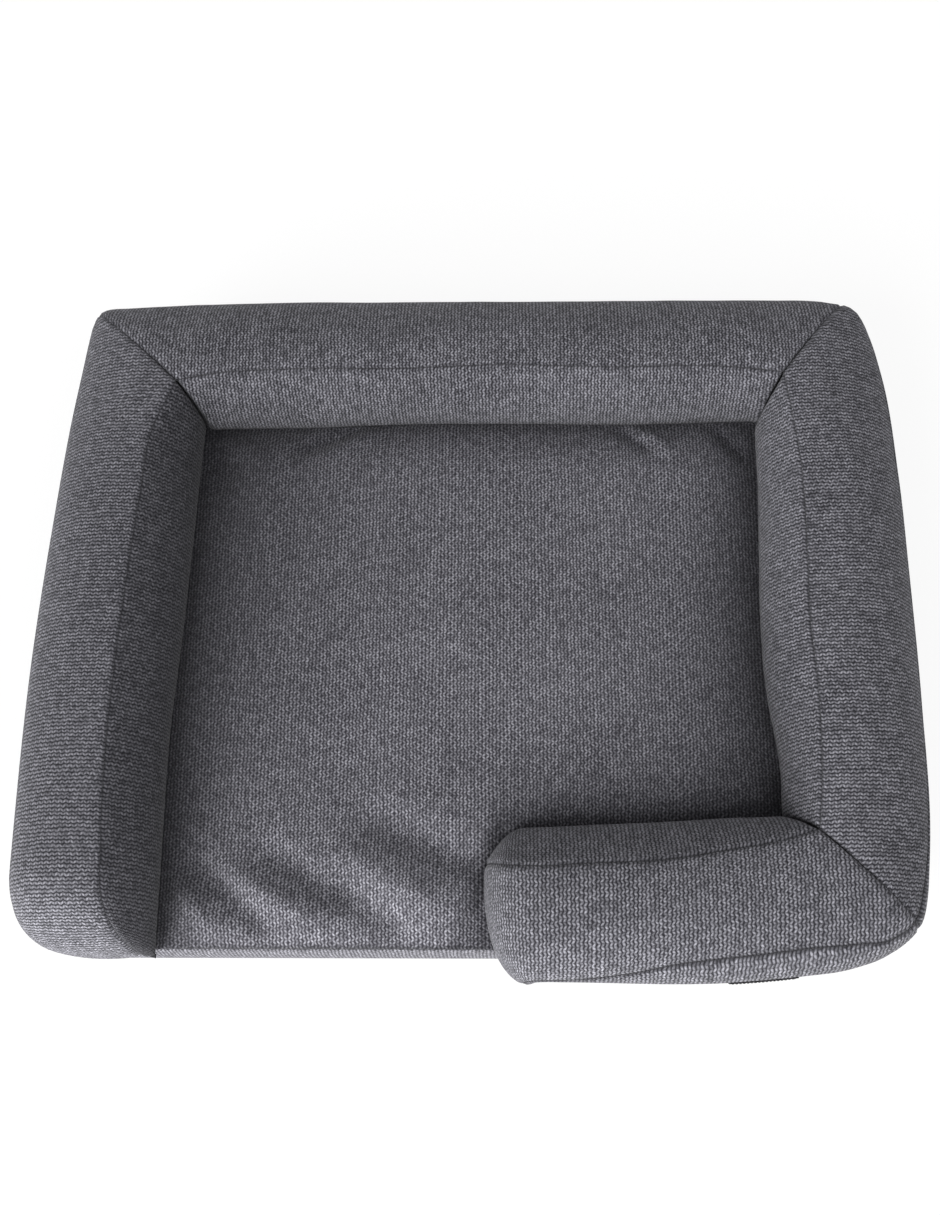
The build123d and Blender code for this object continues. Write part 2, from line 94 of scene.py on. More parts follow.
# %% Shader sums
class Wire:
    """A socket of a material that can be used in sums."""

    def __init__(self, paint, socket):
        self.paint = paint
        self.socket = socket

    def maths(self, operation, *inputs):
        """What a maths node makes of its inputs."""
        return self.paint.node("ShaderNodeMath", {"operation": operation}, dict(enumerate(inputs)))

    def __add__(self, other):
        return self.maths("ADD", self, other)

    def __radd__(self, other):
        return self.maths("ADD", other, self)

    def __sub__(self, other):
        return self.maths("SUBTRACT", self, other)

    def __rsub__(self, other):
        return self.maths("SUBTRACT", other, self)

    def __mul__(self, other):
        return self.maths("MULTIPLY", self, other)

    def __rmul__(self, other):
        return self.maths("MULTIPLY", other, self)

    def __truediv__(self, other):
        return self.maths("DIVIDE", self, other)

    def __pow__(self, other):
        return self.maths("POWER", self, other)

    def __abs__(self):
        return self.maths("ABSOLUTE", self)

    def __mod__(self, other):
        return self.maths("FLOORED_MODULO", self, other)

    def floor(self):
        return self.maths("FLOOR", self)

    def clip(self):
        return self.maths("MINIMUM", self.maths("MAXIMUM", self, 0.0), 1.0)


class Paint:
    """A material with a Principled shader, built node by node."""

    def __init__(self, name, **constants):
        self.material = bpy.data.materials.new(name)
        self.material.use_nodes = True
        self.tree = self.material.node_tree
        self.tree.nodes.clear()
        self.output = self.tree.nodes.new("ShaderNodeOutputMaterial")
        self.shader = self.tree.nodes.new("ShaderNodeBsdfPrincipled")
        self.tree.links.new(self.shader.outputs[0], self.output.inputs["Surface"])
        self.feed(self.shader, {key.replace("_", " "): value for key, value in constants.items()})

    def feed(self, node, inputs):
        """Link or set a node's sockets, each given by its name or its number."""
        for key, value in inputs.items():
            if isinstance(value, Wire):
                self.tree.links.new(value.socket, node.inputs[key])
            else:
                node.inputs[key].default_value = value

    def node(self, kind, settings=None, inputs=None, output=0):
        """A new node with its settings and inputs, as one of its outputs."""
        made = self.tree.nodes.new(kind)
        for key, value in (settings or {}).items():
            setattr(made, key, value)
        self.feed(made, inputs or {})
        return Wire(self, made.outputs[output])

    def split(self, vector):
        """The three parts of a vector."""
        made = self.tree.nodes.new("ShaderNodeSeparateXYZ")
        self.feed(made, {0: vector})
        return [Wire(self, made.outputs[axis]) for axis in range(3)]

    def join(self, x, y, z=0.0):
        return self.node("ShaderNodeCombineXYZ", None, {0: x, 1: y, 2: z})

    def mix(self, share, first, second):
        """A colour between two colours."""
        return self.node("ShaderNodeMix", {"data_type": "RGBA"}, {0: share, 6: first, 7: second}, 2)

    def noise(self, place, scale, detail=2.0, roughness=0.5):
        return self.node("ShaderNodeTexNoise", None,
                         {"Vector": place, "Scale": scale, "Detail": detail, "Roughness": roughness}, "Fac")

    def bump(self, height, distance, strength=1.0):
        inputs = {"Height": height, "Distance": distance, "Strength": strength}
        return self.node("ShaderNodeBump", None, inputs)


def written(red, green, blue):
    """A colour from its written screen values, as light."""
    shares = [value / 255 for value in (red, green, blue)]
    light = [share / 12.92 if share <= 0.04045 else ((share + 0.055) / 1.055) ** 2.4 for share in shares]
    return (*light, 1.0)


print("charcoal as light:", [round(part, 3) for part in written(98, 97, 103)])

# %% [markdown]
# The bed stands on a plain white floor in soft light: two broad lamps from the front and the left,
# one of them low, two weak ones from the right and the back, three panels close in front, and
# light from all round. Their strengths were fitted to how bright the picture is from place to
# place. A colour on a level surface then renders about as it is written. The floor shows as white
# but still takes the bed's shadow.

# %% Floor, world and lamps
FLOOR_REACH = 4.0
FLOOR_GREY = (0.86, 0.86, 0.86, 1)
WHITE = (1, 1, 1, 1)
AMBIENT = 0.40
# The floor's own light, just over white, and the share of it in what the camera sees
FLOOR_WHITE = 1.06
FLOOR_GLOW = 0.82
# Kinds of ray, beside the camera's, that see the background as white too
OTHER_WHITE_RAYS = ("Is Glossy Ray", "Is Transmission Ray")


def stage_floor():
    """A wide plain floor: white to the camera, with the bed's shadow on it."""
    mesh = bpy.data.meshes.new("floor")
    signs = ((-1, -1), (1, -1), (1, 1), (-1, 1))
    mesh.from_pydata([(x * FLOOR_REACH, y * FLOOR_REACH, 0) for x, y in signs], [], [(0, 1, 2, 3)])
    floor = put("floor", mesh)
    paint = Paint("floor paint", Base_Color=FLOOR_GREY, Roughness=0.8)
    seen = paint.tree.nodes.new("ShaderNodeLightPath")
    rays = Wire(paint, seen.outputs["Is Camera Ray"])
    for name in OTHER_WHITE_RAYS:
        rays = rays.maths("MAXIMUM", rays, Wire(paint, seen.outputs[name]))
    glow = paint.node("ShaderNodeEmission", None, {"Color": WHITE, "Strength": FLOOR_WHITE})
    plain = Wire(paint, paint.shader.outputs[0])
    both = paint.node("ShaderNodeMixShader", None, {0: rays * FLOOR_GLOW, 1: plain, 2: glow})
    paint.tree.links.new(both.socket, paint.output.inputs["Surface"])
    mesh.materials.append(paint.material)


def white_world():
    """Light from all round at its own level, behind a background that shows as white."""
    world = bpy.data.worlds.new("world")
    bpy.context.scene.world = world
    world.use_nodes = True
    nodes, links = world.node_tree.nodes, world.node_tree.links
    nodes.clear()
    seen, both = nodes.new("ShaderNodeLightPath"), nodes.new("ShaderNodeMixShader")
    rays = seen.outputs["Is Camera Ray"]
    for name in OTHER_WHITE_RAYS:
        most = nodes.new("ShaderNodeMath")
        most.operation = "MAXIMUM"
        links.new(rays, most.inputs[0])
        links.new(seen.outputs[name], most.inputs[1])
        rays = most.outputs[0]
    links.new(rays, both.inputs[0])
    for place, strength in ((1, AMBIENT), (2, 1.0)):
        background = nodes.new("ShaderNodeBackground")
        background.inputs["Color"].default_value = WHITE
        background.inputs["Strength"].default_value = strength
        links.new(background.outputs[0], both.inputs[place])
    links.new(both.outputs[0], nodes.new("ShaderNodeOutputWorld").inputs["Surface"])


def lamp(name, kind, power, direction):
    """A lamp that shines along a direction."""
    made = put(name, bpy.data.lights.new(name, kind))
    made.data.energy = power
    made.rotation_mode = "QUATERNION"
    made.rotation_quaternion = direction.to_track_quat("-Z", "Y")
    return made


def soft_lamp(name, turn, rise, strength, spread):
    """A lamp so far away that only its direction counts, blurred by its spread. Angles are in degrees."""
    turn, rise = math.radians(turn), math.radians(rise)
    towards = Vector((math.cos(turn) * math.cos(rise), math.sin(turn) * math.cos(rise), math.sin(rise)))
    lamp(name, "SUN", strength, -towards).data.angle = math.radians(spread)


def panel_lamp(name, place, aim, size, power):
    """A lamp with a broad face that stands near the bed, so that its light falls off with distance."""
    made = lamp(name, "AREA", power, Vector(aim) - Vector(place))
    made.data.size = size
    made.location = place
    made.visible_camera = False


stage_floor()
white_world()
soft_lamp("front_lamp", 225, 36, 1.45, 30)
soft_lamp("low_lamp", 225, 15, 0.96, 30)
soft_lamp("side_lamp", 330, 50, 0.42, 30)
soft_lamp("back_lamp", 80, 40, 0.30, 30)
panel_lamp("end_panel", (-0.75, -0.95, 0.12), (-0.42, -0.33, 0.08), 0.3, 6.5)
panel_lamp("near_panel", (0.15, -1.0, 0.55), (0.15, -0.30, 0.10), 0.6, 4.4)
panel_lamp("low_panel", (-0.35, -1.35, 0.32), (-0.15, -0.30, 0.08), 0.8, 2.6)
print("lamps:", [light.name for light in bpy.data.lights])

# %% [markdown]
# The cover is one charcoal cloth of wavy rows. Each row is a ridge of light and dark yarns that
# leans one way and then the other, so the rows look like small zigzags, just under four
# millimetres apart.
# On every slope of the zigzag one yarn floats on top, and each row starts its zigzag elsewhere.
# The pattern is made of places on the cloth itself, which every piece carries as an attribute: the
# rows' order first, the way along them second, and a number that sets one panel's yarns apart from
# the next one's.

# %% Woven charcoal cloth
ROW_PITCH = 0.0041
WAVE_LENGTH = 0.0068
# How much closer than that the rows stand on each bolster
ROW_SCALE = {"left": 1.05, "back": 1.12, "right": 1.08, "front": 1.05}
# How far a row leans to each side, and how wide its ridge is, as shares of the pitch
LEAN_SHARE = 0.44
RIDGE_SHARE = 0.42
# How far rows wander, in rows, and over what; scales of fibres and slubs, across the rows and along
DRIFT, DRIFT_SCALE = 0.9, 60.0
FIBRE_SCALES, SLUB_SCALES, BROAD_SCALE = (1500, 420), (230, 90), 9.0
# What goes into a yarn's tone: the least of it, each yarn's own, and the three noises
TONE_LEAST, TONE_OWN, TONE_FIBRE, TONE_SLUB, TONE_BROAD = 0.34, 0.44, 0.32, 0.56, 0.12
FLOAT_RISE, FLOAT_POWER = 0.7, 2.5
TONE_BASE, TONE_POWER = 0.04, 1.3
# Painted shade: how far seams and creases are darkened towards SEAM_SHADE
SEAM_DARKNESS = 0.85
FIBRE_HEIGHT = 0.35
YARN_DARK = written(34, 34, 39)
YARN_LIGHT = written(176, 175, 184)
# The colour of the painted shade in seams and creases
SEAM_SHADE = written(24, 24, 28)


def woven_cloth(name, pitch, wave, dark, light, lift=0.0007, stagger=0.35):
    """A cloth of wavy rows; lengths in metres, stagger is how far rows start apart, in waves."""
    paint = Paint(name, Roughness=0.92, Sheen_Weight=0.10, Sheen_Roughness=0.5, Specular_IOR_Level=0.2)
    place = paint.node("ShaderNodeAttribute", {"attribute_name": "cloth"}, None, "Vector")
    across_rows, along_rows, panel = paint.split(place)
    drift = (paint.noise(place, DRIFT_SCALE) - 0.5) * DRIFT
    rows = across_rows / pitch + drift
    row = rows.floor()
    two, three = {"noise_dimensions": "2D"}, {"noise_dimensions": "3D"}
    shift = paint.node("ShaderNodeTexWhiteNoise", two, {"Vector": paint.join(row, panel)}, "Value")
    steps = along_rows / wave + shift * stagger
    lean = steps.maths("PINGPONG", steps, 0.5) * 2 - 0.5
    off = (rows - row - 0.5 - lean * LEAN_SHARE) / RIDGE_SHARE
    ridge = (1 - off * off).clip()
    slope = (steps * 2) % 1.0
    float_rise = 1 - abs(slope * 2 - 1) ** FLOAT_POWER
    key = paint.join(row, (steps * 2).floor(), panel)
    tone = paint.node("ShaderNodeTexWhiteNoise", three, {"Vector": key}, "Value")
    fibre, slub = (
        paint.noise(paint.join(across_rows * across, along_rows * along, panel), 1.0, 3.0, rough)
        for (across, along), rough in ((FIBRE_SCALES, 0.7), (SLUB_SCALES, 0.6)))
    broad = paint.noise(place, BROAD_SCALE)
    yarn = ridge * (float_rise * FLOAT_RISE + (1 - FLOAT_RISE))
    noises = (fibre - 0.5) * TONE_FIBRE + (slub - 0.5) * TONE_SLUB + (broad - 0.5) * TONE_BROAD
    share = yarn * (TONE_LEAST + tone * TONE_OWN) + noises
    # Painted shade in seams and creases, from the mesh's seam attribute, darkens the colour towards
    # SEAM_SHADE
    wear_and_painted_shade = paint.node("ShaderNodeAttribute", {"attribute_name": "seam"}, None, "Fac")
    colour = paint.mix((share + TONE_BASE).clip() ** TONE_POWER, dark, light)
    colour = paint.mix(wear_and_painted_shade * SEAM_DARKNESS, colour, SEAM_SHADE)
    bump = paint.bump(yarn + fibre * FIBRE_HEIGHT, lift)
    paint.feed(paint.shader, {"Base Color": colour, "Normal": bump})
    return paint.material


bolster_cloth = woven_cloth("bolster cloth", ROW_PITCH, WAVE_LENGTH, YARN_DARK, YARN_LIGHT)
mattress_cloth = woven_cloth("mattress cloth", 0.0037, 0.0060, written(44, 43, 49), written(182, 181, 190),
                             lift=0.0006, stagger=1.0)
row_gaps = {name: round(ROW_PITCH * 1000 / scale, 1) for name, scale in ROW_SCALE.items()}
print("cloth rows on the bolsters, in mm:", row_gaps)

# %% [markdown]
# Each bolster is a long box cushion of three cut panels: an outer panel that wraps round the
# overhang, a top strip and an inner panel. In the picture the seams aren't straight: they lean
# and draw in towards the stuffed corners. So each seam has its own short table of places, and a
# smooth line through them. Distances are inset from the bed's outer line; heights are above the
# mattress.

# %% Sizes of the bed
HALF_WIDTH, HALF_DEPTH = 0.457, 0.370
DECK = 0.078
REST = 0.0783
BULGE_HEIGHT = 0.031
ATTACH_INSET = 0.034
# The underside starts at least this far in from the bulge
UNDERCUT = 0.012


def smooth_table(table, at):
    """Values of a smooth line through the (place, value) pairs of a table."""
    places, values = (np.array(column, float) for column in zip(*table))
    slopes = np.gradient(values, places)
    at = np.clip(at, places[0], places[-1])
    index = np.clip(np.searchsorted(places, at) - 1, 0, len(places) - 2)
    width = places[index + 1] - places[index]
    t = (at - places[index]) / width
    return ((2 * t**3 - 3 * t**2 + 1) * values[index] + (t**3 - 2 * t**2 + t) * width * slopes[index]
            + (3 * t**2 - 2 * t**3) * values[index + 1] + (t**3 - t**2) * width * slopes[index + 1])


def bezier(points, t):
    """Points of a cubic, each given as (inset, height) arrays."""
    weights = ((1 - t) ** 3, 3 * (1 - t) ** 2 * t, 3 * (1 - t) * t**2, t**3)
    return [sum(weight * point[axis] for weight, point in zip(weights, points)) for axis in (0, 1)]


# Corner seams: where the inner seam and the outer bulge meet them, in plan
CORNERS = {
    "back_left": ((-0.316, 0.252), (-0.4222, 0.3532)),
    "back_right": ((0.330, 0.254), (0.4070, 0.3538)),
    "front_right": ((0.334, -0.231), (0.430, -0.3225)),
}
print("corner seams:", list(CORNERS))

# %% The four bolsters in numbers
# Along each bolster: bulge, inner seam and foot as insets, setback and rise of the outer seam, and
# how far that seam is a low one (1) or one on top (0)
LOW_SEAM = {
    "setback": [(-1, 0.004), (1, 0.004)], "rise": [(-1, 0.048), (1, 0.048)], "low": [(-1, 1), (1, 1)],
}
BOLSTERS = {
    "left": {
        "sign": (-1, 0),
        "free": {"tip": -0.346, "reach": 0.084, "power": 1.0, "drift": 0.024, "foot_out": 1.0},
        "corner_high": "back_left", **LOW_SEAM, "belly": 0.012,
        "bulge": [(-0.346, 0.002), (-0.25, 0.0), (-0.05, 0.0), (0.11, 0.008), (0.231, 0.017),
                  (0.290, 0.0235), (0.320, 0.0268), (0.336, 0.0290), (0.346, 0.0312), (0.353, 0.0350)],
        "inner": [(-0.262, 0.104), (-0.183, 0.100), (-0.05, 0.102), (0.044, 0.107), (0.128, 0.113),
                  (0.193, 0.119), (0.252, 0.141)],
        "foot": [(-0.346, 0.143), (-0.2, 0.141), (-0.127, 0.141), (-0.011, 0.147), (0.089, 0.151),
                 (0.234, 0.156)],
    },
    "back": {
        "sign": (0, 1), "free": None, "corner_low": "back_left", "corner_high": "back_right",
        **LOW_SEAM, "belly": 0.011,
        "bulge": [(-0.4222, 0.0168), (-0.415, 0.0104), (-0.404, 0.0064), (-0.385, 0.0045), (-0.33, 0.0015),
                  (-0.1, 0.0), (0.1, 0.002), (0.25, 0.003), (0.33, 0.004), (0.37, 0.0058), (0.390, 0.0092),
                  (0.4070, 0.0162)],
        "inner": [(-0.316, 0.118), (-0.27, 0.110), (-0.183, 0.106), (-0.074, 0.107), (0.035, 0.104),
                  (0.143, 0.108), (0.27, 0.109), (0.330, 0.116)],
        "foot": [(-0.297, 0.136), (-0.194, 0.136), (-0.052, 0.133), (0.063, 0.134), (0.161, 0.136),
                 (0.313, 0.133)],
    },
    "right": {
        "sign": (1, 0), "free": None, "corner_low": "front_right", "corner_high": "back_right",
        "belly": 0.012,
        "bulge": [(-0.3225, 0.027), (-0.310, 0.0205), (-0.292, 0.0155), (-0.26, 0.010), (-0.223, 0.0055),
                  (-0.1, 0.001), (0.05, 0.001), (0.154, 0.003), (0.279, 0.0130), (0.315, 0.0205),
                  (0.332, 0.0262), (0.343, 0.0335), (0.350, 0.0420), (0.3538, 0.0500)],
        "setback": [(-0.3225, 0.0125), (-0.29, 0.010), (-0.25, 0.005), (-0.22, 0.004), (0.36, 0.004)],
        "rise": [(-0.3225, 0.074), (-0.29, 0.067), (-0.25, 0.052), (-0.22, 0.048), (0.36, 0.048)],
        "low": [(-0.3225, 0), (-0.29, 0.3), (-0.25, 0.9), (-0.22, 1), (0.36, 1)],
        "inner": [(-0.231, 0.123), (-0.185, 0.118), (-0.095, 0.115), (-0.02, 0.118), (0.05, 0.116),
                  (0.15, 0.116), (0.254, 0.127)],
        "foot": [(-0.214, 0.141), (-0.154, 0.142), (-0.065, 0.152), (0.006, 0.153), (0.102, 0.149),
                 (0.237, 0.144)],
    },
    "front": {
        "sign": (0, -1),
        "free": {"tip": 0.013, "reach": 0.066, "power": 0.84, "drift": 0.011, "foot_out": 0.35},
        "corner_high": "front_right", "belly": 0.017,
        "bulge": [(0.013, 0.001), (0.1, 0.0), (0.25, 0.0), (0.318, 0.006), (0.367, 0.0135), (0.402, 0.0265),
                  (0.418, 0.0365), (0.430, 0.0475)],
        "setback": [(0.013, 0.001), (0.1, 0.001), (0.15, 0.006), (0.2, 0.015), (0.274, 0.0200),
                    (0.338, 0.0205), (0.367, 0.018), (0.389, 0.0125), (0.430, 0.0125)],
        "rise": [(0.013, 0.036), (0.1, 0.038), (0.15, 0.052), (0.2, 0.065), (0.3, 0.072), (0.430, 0.074)],
        "low": [(0.013, 1), (0.1, 1), (0.15, 0.7), (0.2, 0.3), (0.3, 0), (0.430, 0)],
        "inner": [(0.013, 0.105), (0.07, 0.104), (0.116, 0.107), (0.184, 0.110), (0.244, 0.119),
                  (0.304, 0.130), (0.334, 0.139)],
        "foot": [(0.013, 0.146), (0.1, 0.150), (0.2, 0.154), (0.27, 0.156), (0.316, 0.154)],
    },
}
INNER_RISE = 0.086
# How many steps each stretch of the outline takes: underside lip, outer face, top strip, inner panel, floor
STEPS = (6, 8, 12, 12, 8)
ROW_STEP = 0.009
FAN_ROWS = 12
# Handles of the outline's curves; the top strip's are for a high seam, then what a low one adds
LIP_IN, LIP_DOWN = 0.016, 0.018
LEAN_MOST, LEAN_OF_SETBACK, LEAN_DOWN = 0.014, 0.55, 0.95
FACE_HANDLE = 0.42
TOP_OUTER_REACH, TOP_OUTER_RISE = (0.8, -0.52), (0.014, 0.0033)
TOP_INNER_REACH, TOP_INNER_RISE = (1.0, 0.36), (0.0125, 0.0102)
BELLY_TOP, BELLY_FOOT = (1.5, 0.022), (0.9, 0.026)
# Rounds that bring a line of the outline to its corner seam, and a length too small to divide by
CORNER_ROUNDS = 60
TINY = 1e-9
print("bolsters:", list(BOLSTERS), "steps round:", sum(STEPS))

# %% [markdown]
# A bolster is a grid: rows along its length, each one a closed outline. At a closed corner every
# line of the grid ends on the upright plane of the corner seam. At a free end the outline swings
# down to the mattress like the end of a loaf: heights shrink with the cosine while the place
# moves towards the tip with the sine. The foot of the inner panel slides out along the mattress.

# %% Grid of one bolster
def outline(spec, along):
    """Insets and heights above the mattress of the whole outline, for an array rows x places."""
    names = ("bulge", "setback", "rise", "low", "inner", "foot")
    landmarks = [smooth_table(spec[name], along) for name in names]
    belly = spec["belly"]
    insets, heights = np.zeros_like(along), np.zeros_like(along)
    first = 0
    for stretch, count in enumerate(STEPS):
        columns = slice(first, first + count)
        t = np.linspace(0, 1, count, endpoint=False)[None, :]
        bulge, setback, rise, low, inner, foot = (landmark[:, columns] for landmark in landmarks)
        outer = bulge + setback
        lean = np.minimum(LEAN_MOST, setback * LEAN_OF_SETBACK)
        zero = np.zeros_like(bulge)
        attach = np.maximum(ATTACH_INSET, bulge + UNDERCUT)
        top, side = zero + INNER_RISE, zero + BULGE_HEIGHT
        run, climb = (inner - outer) / 3, (top - rise) / 3
        handles = (TOP_OUTER_REACH, TOP_OUTER_RISE, TOP_INNER_REACH, TOP_INNER_RISE)
        outer_reach, outer_rise, inner_reach, inner_rise = (least + more * low for least, more in handles)
        curves = (
            ((attach, zero), (attach - LIP_IN, zero), (bulge, side - LIP_DOWN), (bulge, side)),
            ((bulge, side), (bulge, side + FACE_HANDLE * (rise - side)),
             (outer - lean, rise - lean * LEAN_DOWN), (outer, rise)),
            ((outer, rise), (outer + run * outer_reach, rise + climb + outer_rise),
             (inner - run * inner_reach, top - climb + inner_rise), (inner, top)),
            ((inner, top), (inner + belly * BELLY_TOP[0], top - BELLY_TOP[1]),
             (foot + belly * BELLY_FOOT[0], zero + BELLY_FOOT[1]), (foot, zero)),
            ((foot, zero), (foot * 2 / 3 + attach / 3, zero),
             (foot / 3 + attach * 2 / 3, zero), (attach, zero)),
        )
        insets[:, columns], heights[:, columns] = bezier(curves[stretch], t)
        first += count
    return insets, heights


def in_plan(spec, along, inset):
    """World x and y of places given along the bolster and inset from its outer line."""
    sx, sy = spec["sign"]
    if sx:
        return sx * (HALF_WIDTH - inset), along
    return along, sy * (HALF_DEPTH - inset)


def corner_along(spec, corner, guess):
    """Where each line of the outline meets the corner seam's plane."""
    (x1, y1), (x2, y2) = CORNERS[corner]
    along = np.full((1, sum(STEPS)), guess)
    for _ in range(CORNER_ROUNDS):
        x, y = in_plan(spec, along, outline(spec, along)[0])
        if spec["sign"][0]:
            met = y1 + (x - x1) * (y2 - y1) / (x2 - x1)
        else:
            met = x1 + (y - y1) * (x2 - x1) / (y2 - y1)
        along = (along + met) / 2
    return along


def bolster_grid(spec):
    """World points, rows x places, from the low end of the bolster to its high end."""
    free = spec["free"]
    around = sum(STEPS)
    last = corner_along(spec, spec["corner_high"], spec["inner"][-1][0])
    if free:
        start = np.full((1, around), free["tip"] + free["reach"])
    else:
        start = corner_along(spec, spec["corner_low"], spec["inner"][0][0])
    rows = int(round(float((last - start).mean()) / ROW_STEP))
    share = np.linspace(0, 1, rows + 1)[:, None]
    along = start + share * (last - start)
    insets, heights = outline(spec, along)
    if free:
        inset, height = outline(spec, start)
        reach = height / height.max()
        first = sum(STEPS[:3])
        panel = slice(first, first + STEPS[3])
        top_edge = reach[:, first]
        reach[:, panel] = reach[:, panel] * (1 - free["foot_out"]) + top_edge * free["foot_out"]
        floor = slice(first + STEPS[3], around)
        slide = np.linspace(1, 0, STEPS[4], endpoint=False)
        reach[:, floor] = top_edge * free["foot_out"] * slide
        turn = np.linspace(math.pi / 2, 0, FAN_ROWS, endpoint=False)[:, None]
        swing, drop = np.sin(turn) ** free["power"], np.cos(turn) ** free["power"]
        weight = np.clip((inset - ATTACH_INSET) / (inset[:, first] - ATTACH_INSET), 0, 1)
        past_top = (inset - inset[:, first]) / (inset.max() - inset[:, first] + TINY)
        weight = np.where(np.arange(around) > first, 1 - past_top, weight)
        drift = free["drift"] * np.clip(weight, 0, 1) * swing**3
        fan_along = start - free["reach"] * reach * swing
        along = np.vstack((fan_along, along))
        insets = np.vstack((inset + drift, insets))
        heights = np.vstack((height * drop, heights))
    x, y = in_plan(spec, along, insets)
    return np.stack((x, y, REST + heights), -1)


grids = {name: bolster_grid(spec) for name, spec in BOLSTERS.items()}


def share_corner(first, first_row, second, second_row):
    """Two bolsters meet on one line, the middle of their two ends."""
    middle = (grids[first][first_row] + grids[second][second_row]) / 2
    grids[first][first_row] = grids[second][second_row] = middle


share_corner("left", -1, "back", 0)
share_corner("back", -1, "right", -1)
share_corner("right", 0, "front", -1)
print("grids:", {name: grid.shape for name, grid in grids.items()})

# %% [markdown]
# A stuffed cover isn't a clean surface: the filling pushes each panel out between its seams, and
# the cloth gathers a little where it can't stretch. That is what a cloth simulation does well.
# The grid is swelled for twenty frames with its seams held, its moves are capped, and the result
# is read back as a grid, so that the seams stay where they were sewn.

# %% Swell the covers
FRAMES = 20
SWELL_CAP = 0.0075
CLOTH_SETTINGS = {
    "quality": 6, "mass": 0.25, "tension_stiffness": 12, "compression_stiffness": 12, "shear_stiffness": 4,
    "bending_stiffness": 0.6, "shrink_min": -0.012, "vertex_group_mass": "hold", "use_pressure": True,
    "uniform_pressure_force": 4.0,
}
# A free end swells only above this height over the mattress, and fully so much higher
FREE_END_FROM, FREE_END_FULL = 0.02, 0.04
# The outside stays smoother than the top: share of the swelling that it keeps
OUTSIDE_SHARE = 0.15
# Rows after a free end over which the outside takes up its swelling
CALM_ROWS = 12
# How often the moves of neighbouring rows are averaged, which takes out small ripples
CALM_PASSES = 5


def grid_faces(rows, around):
    """Quads of a closed tube and its two ends, facing outwards for a right-handed grid."""
    faces = []
    for row in range(rows - 1):
        for place in range(around):
            beside = (place + 1) % around
            here, above = row * around, (row + 1) * around
            faces.append((here + place, here + beside, above + beside, above + place))
    faces.append(tuple(range(around - 1, -1, -1)))
    faces.append(tuple((rows - 1) * around + place for place in range(around)))
    return faces


def grid_quads(rows, columns):
    """Corners of the quads of an open grid."""
    for row in range(rows - 1):
        for column in range(columns - 1):
            here = row * columns + column
            yield here, here + columns, here + columns + 1, here + 1


def grid_rim(rows, columns):
    """Rows and columns of the places round a grid, along its first column to begin with."""
    return ([(row, 0) for row in range(rows - 1)] + [(rows - 1, column) for column in range(columns - 1)]
            + [(row, columns - 1) for row in range(rows - 1, 0, -1)]
            + [(0, column) for column in range(columns - 1, 0, -1)])


def mesh_object(name, points, faces):
    """A new object whose mesh has these points and faces."""
    mesh = bpy.data.meshes.new(name)
    mesh.from_pydata([tuple(point) for point in points], [], faces)
    mesh.update()
    return put(name, mesh)


def swelled(name, grid):
    """The grid after a short cloth simulation under pressure, with its seams held."""
    rows, around = grid.shape[:2]
    body = mesh_object(name + "_swell", grid.reshape(-1, 3), grid_faces(rows, around))
    bpy.context.view_layer.update()
    if signed_volume(grid) < 0:
        body.data.flip_normals()
    hold = body.vertex_groups.new(name="hold")
    marks = np.cumsum((0,) + STEPS)
    seams = {marks[2], marks[3], marks[4] % around, 0} | set(range(marks[4], around))
    for row in range(rows):
        ends = row in (0, rows - 1)
        for place in range(around):
            if ends or place in seams:
                hold.add([row * around + place], 1.0, "REPLACE")
    cloth = body.modifiers.new("cloth", "CLOTH")
    for key, value in CLOTH_SETTINGS.items():
        setattr(cloth.settings, key, value)
    cloth.settings.effector_weights.gravity = 0
    cloth.point_cache.frame_start, cloth.point_cache.frame_end = 1, FRAMES
    for number in range(1, FRAMES + 1):
        bpy.context.scene.frame_set(number)
    result = body.evaluated_get(bpy.context.evaluated_depsgraph_get()).to_mesh()
    moved = np.zeros(len(result.vertices) * 3)
    result.vertices.foreach_get("co", moved)
    bpy.data.objects.remove(body)
    bpy.context.scene.frame_set(1)
    step = moved.reshape(grid.shape) - grid
    for _ in range(CALM_PASSES):
        step[1:-1] = (step[:-2] + 2 * step[1:-1] + step[2:]) / 4
    step[:, :marks[2]] *= OUTSIDE_SHARE
    if BOLSTERS[name]["free"]:
        step[:FAN_ROWS] *= np.clip((grid[:FAN_ROWS, :, 2:] - REST - FREE_END_FROM) / FREE_END_FULL, 0, 1)
        calm = np.clip((np.arange(rows) - FAN_ROWS + 1) / CALM_ROWS, 0, 1)
        step[:, :marks[2]] *= (calm**2 * (3 - 2 * calm))[:, None, None]
    length = np.linalg.norm(step, axis=-1, keepdims=True)
    capped = step * np.minimum(1, SWELL_CAP / np.maximum(length, TINY))
    print(name, "swelled by up to", round(float(length.max()) * 1000, 1), "mm, capped at", SWELL_CAP * 1000)
    return grid + capped


def signed_volume(grid):
    """Positive where the grid's quads face outwards."""
    middle = grid.mean((0, 1))
    a = grid[:-1] - middle
    b = np.roll(grid, -1, 1)[:-1] - middle
    c = np.roll(grid, -1, 1)[1:] - middle
    d = grid[1:] - middle
    return float((np.cross(a, b) * c).sum() + (np.cross(a, c) * d).sum())


for name in BOLSTERS:
    grids[name] = swelled(name, grids[name])

# %% [markdown]
# The swelled grid is coarse. It is now drawn again with more rows and with places that crowd
# towards the seams, where the cloth turns sharply. Then each seam is pulled in to a narrow
# groove, and small gathers stand off it on both sides, as thread makes them.

# %% Finer grids with sewn seams
ROW_DIVISION = 2
EASED_ROWS = 4
FINE_STEPS = (10, 20, 26, 24, 6)
GROOVE_DEPTH = 0.0026
GROOVE_WIDTH = 0.0024
OUTER_GROOVE_DEPTH = 0.0012
GATHER_HEIGHT = 0.0005
GATHER_PITCH = 0.017
GATHER_REACH = 0.016
GATHER_START = 0.004
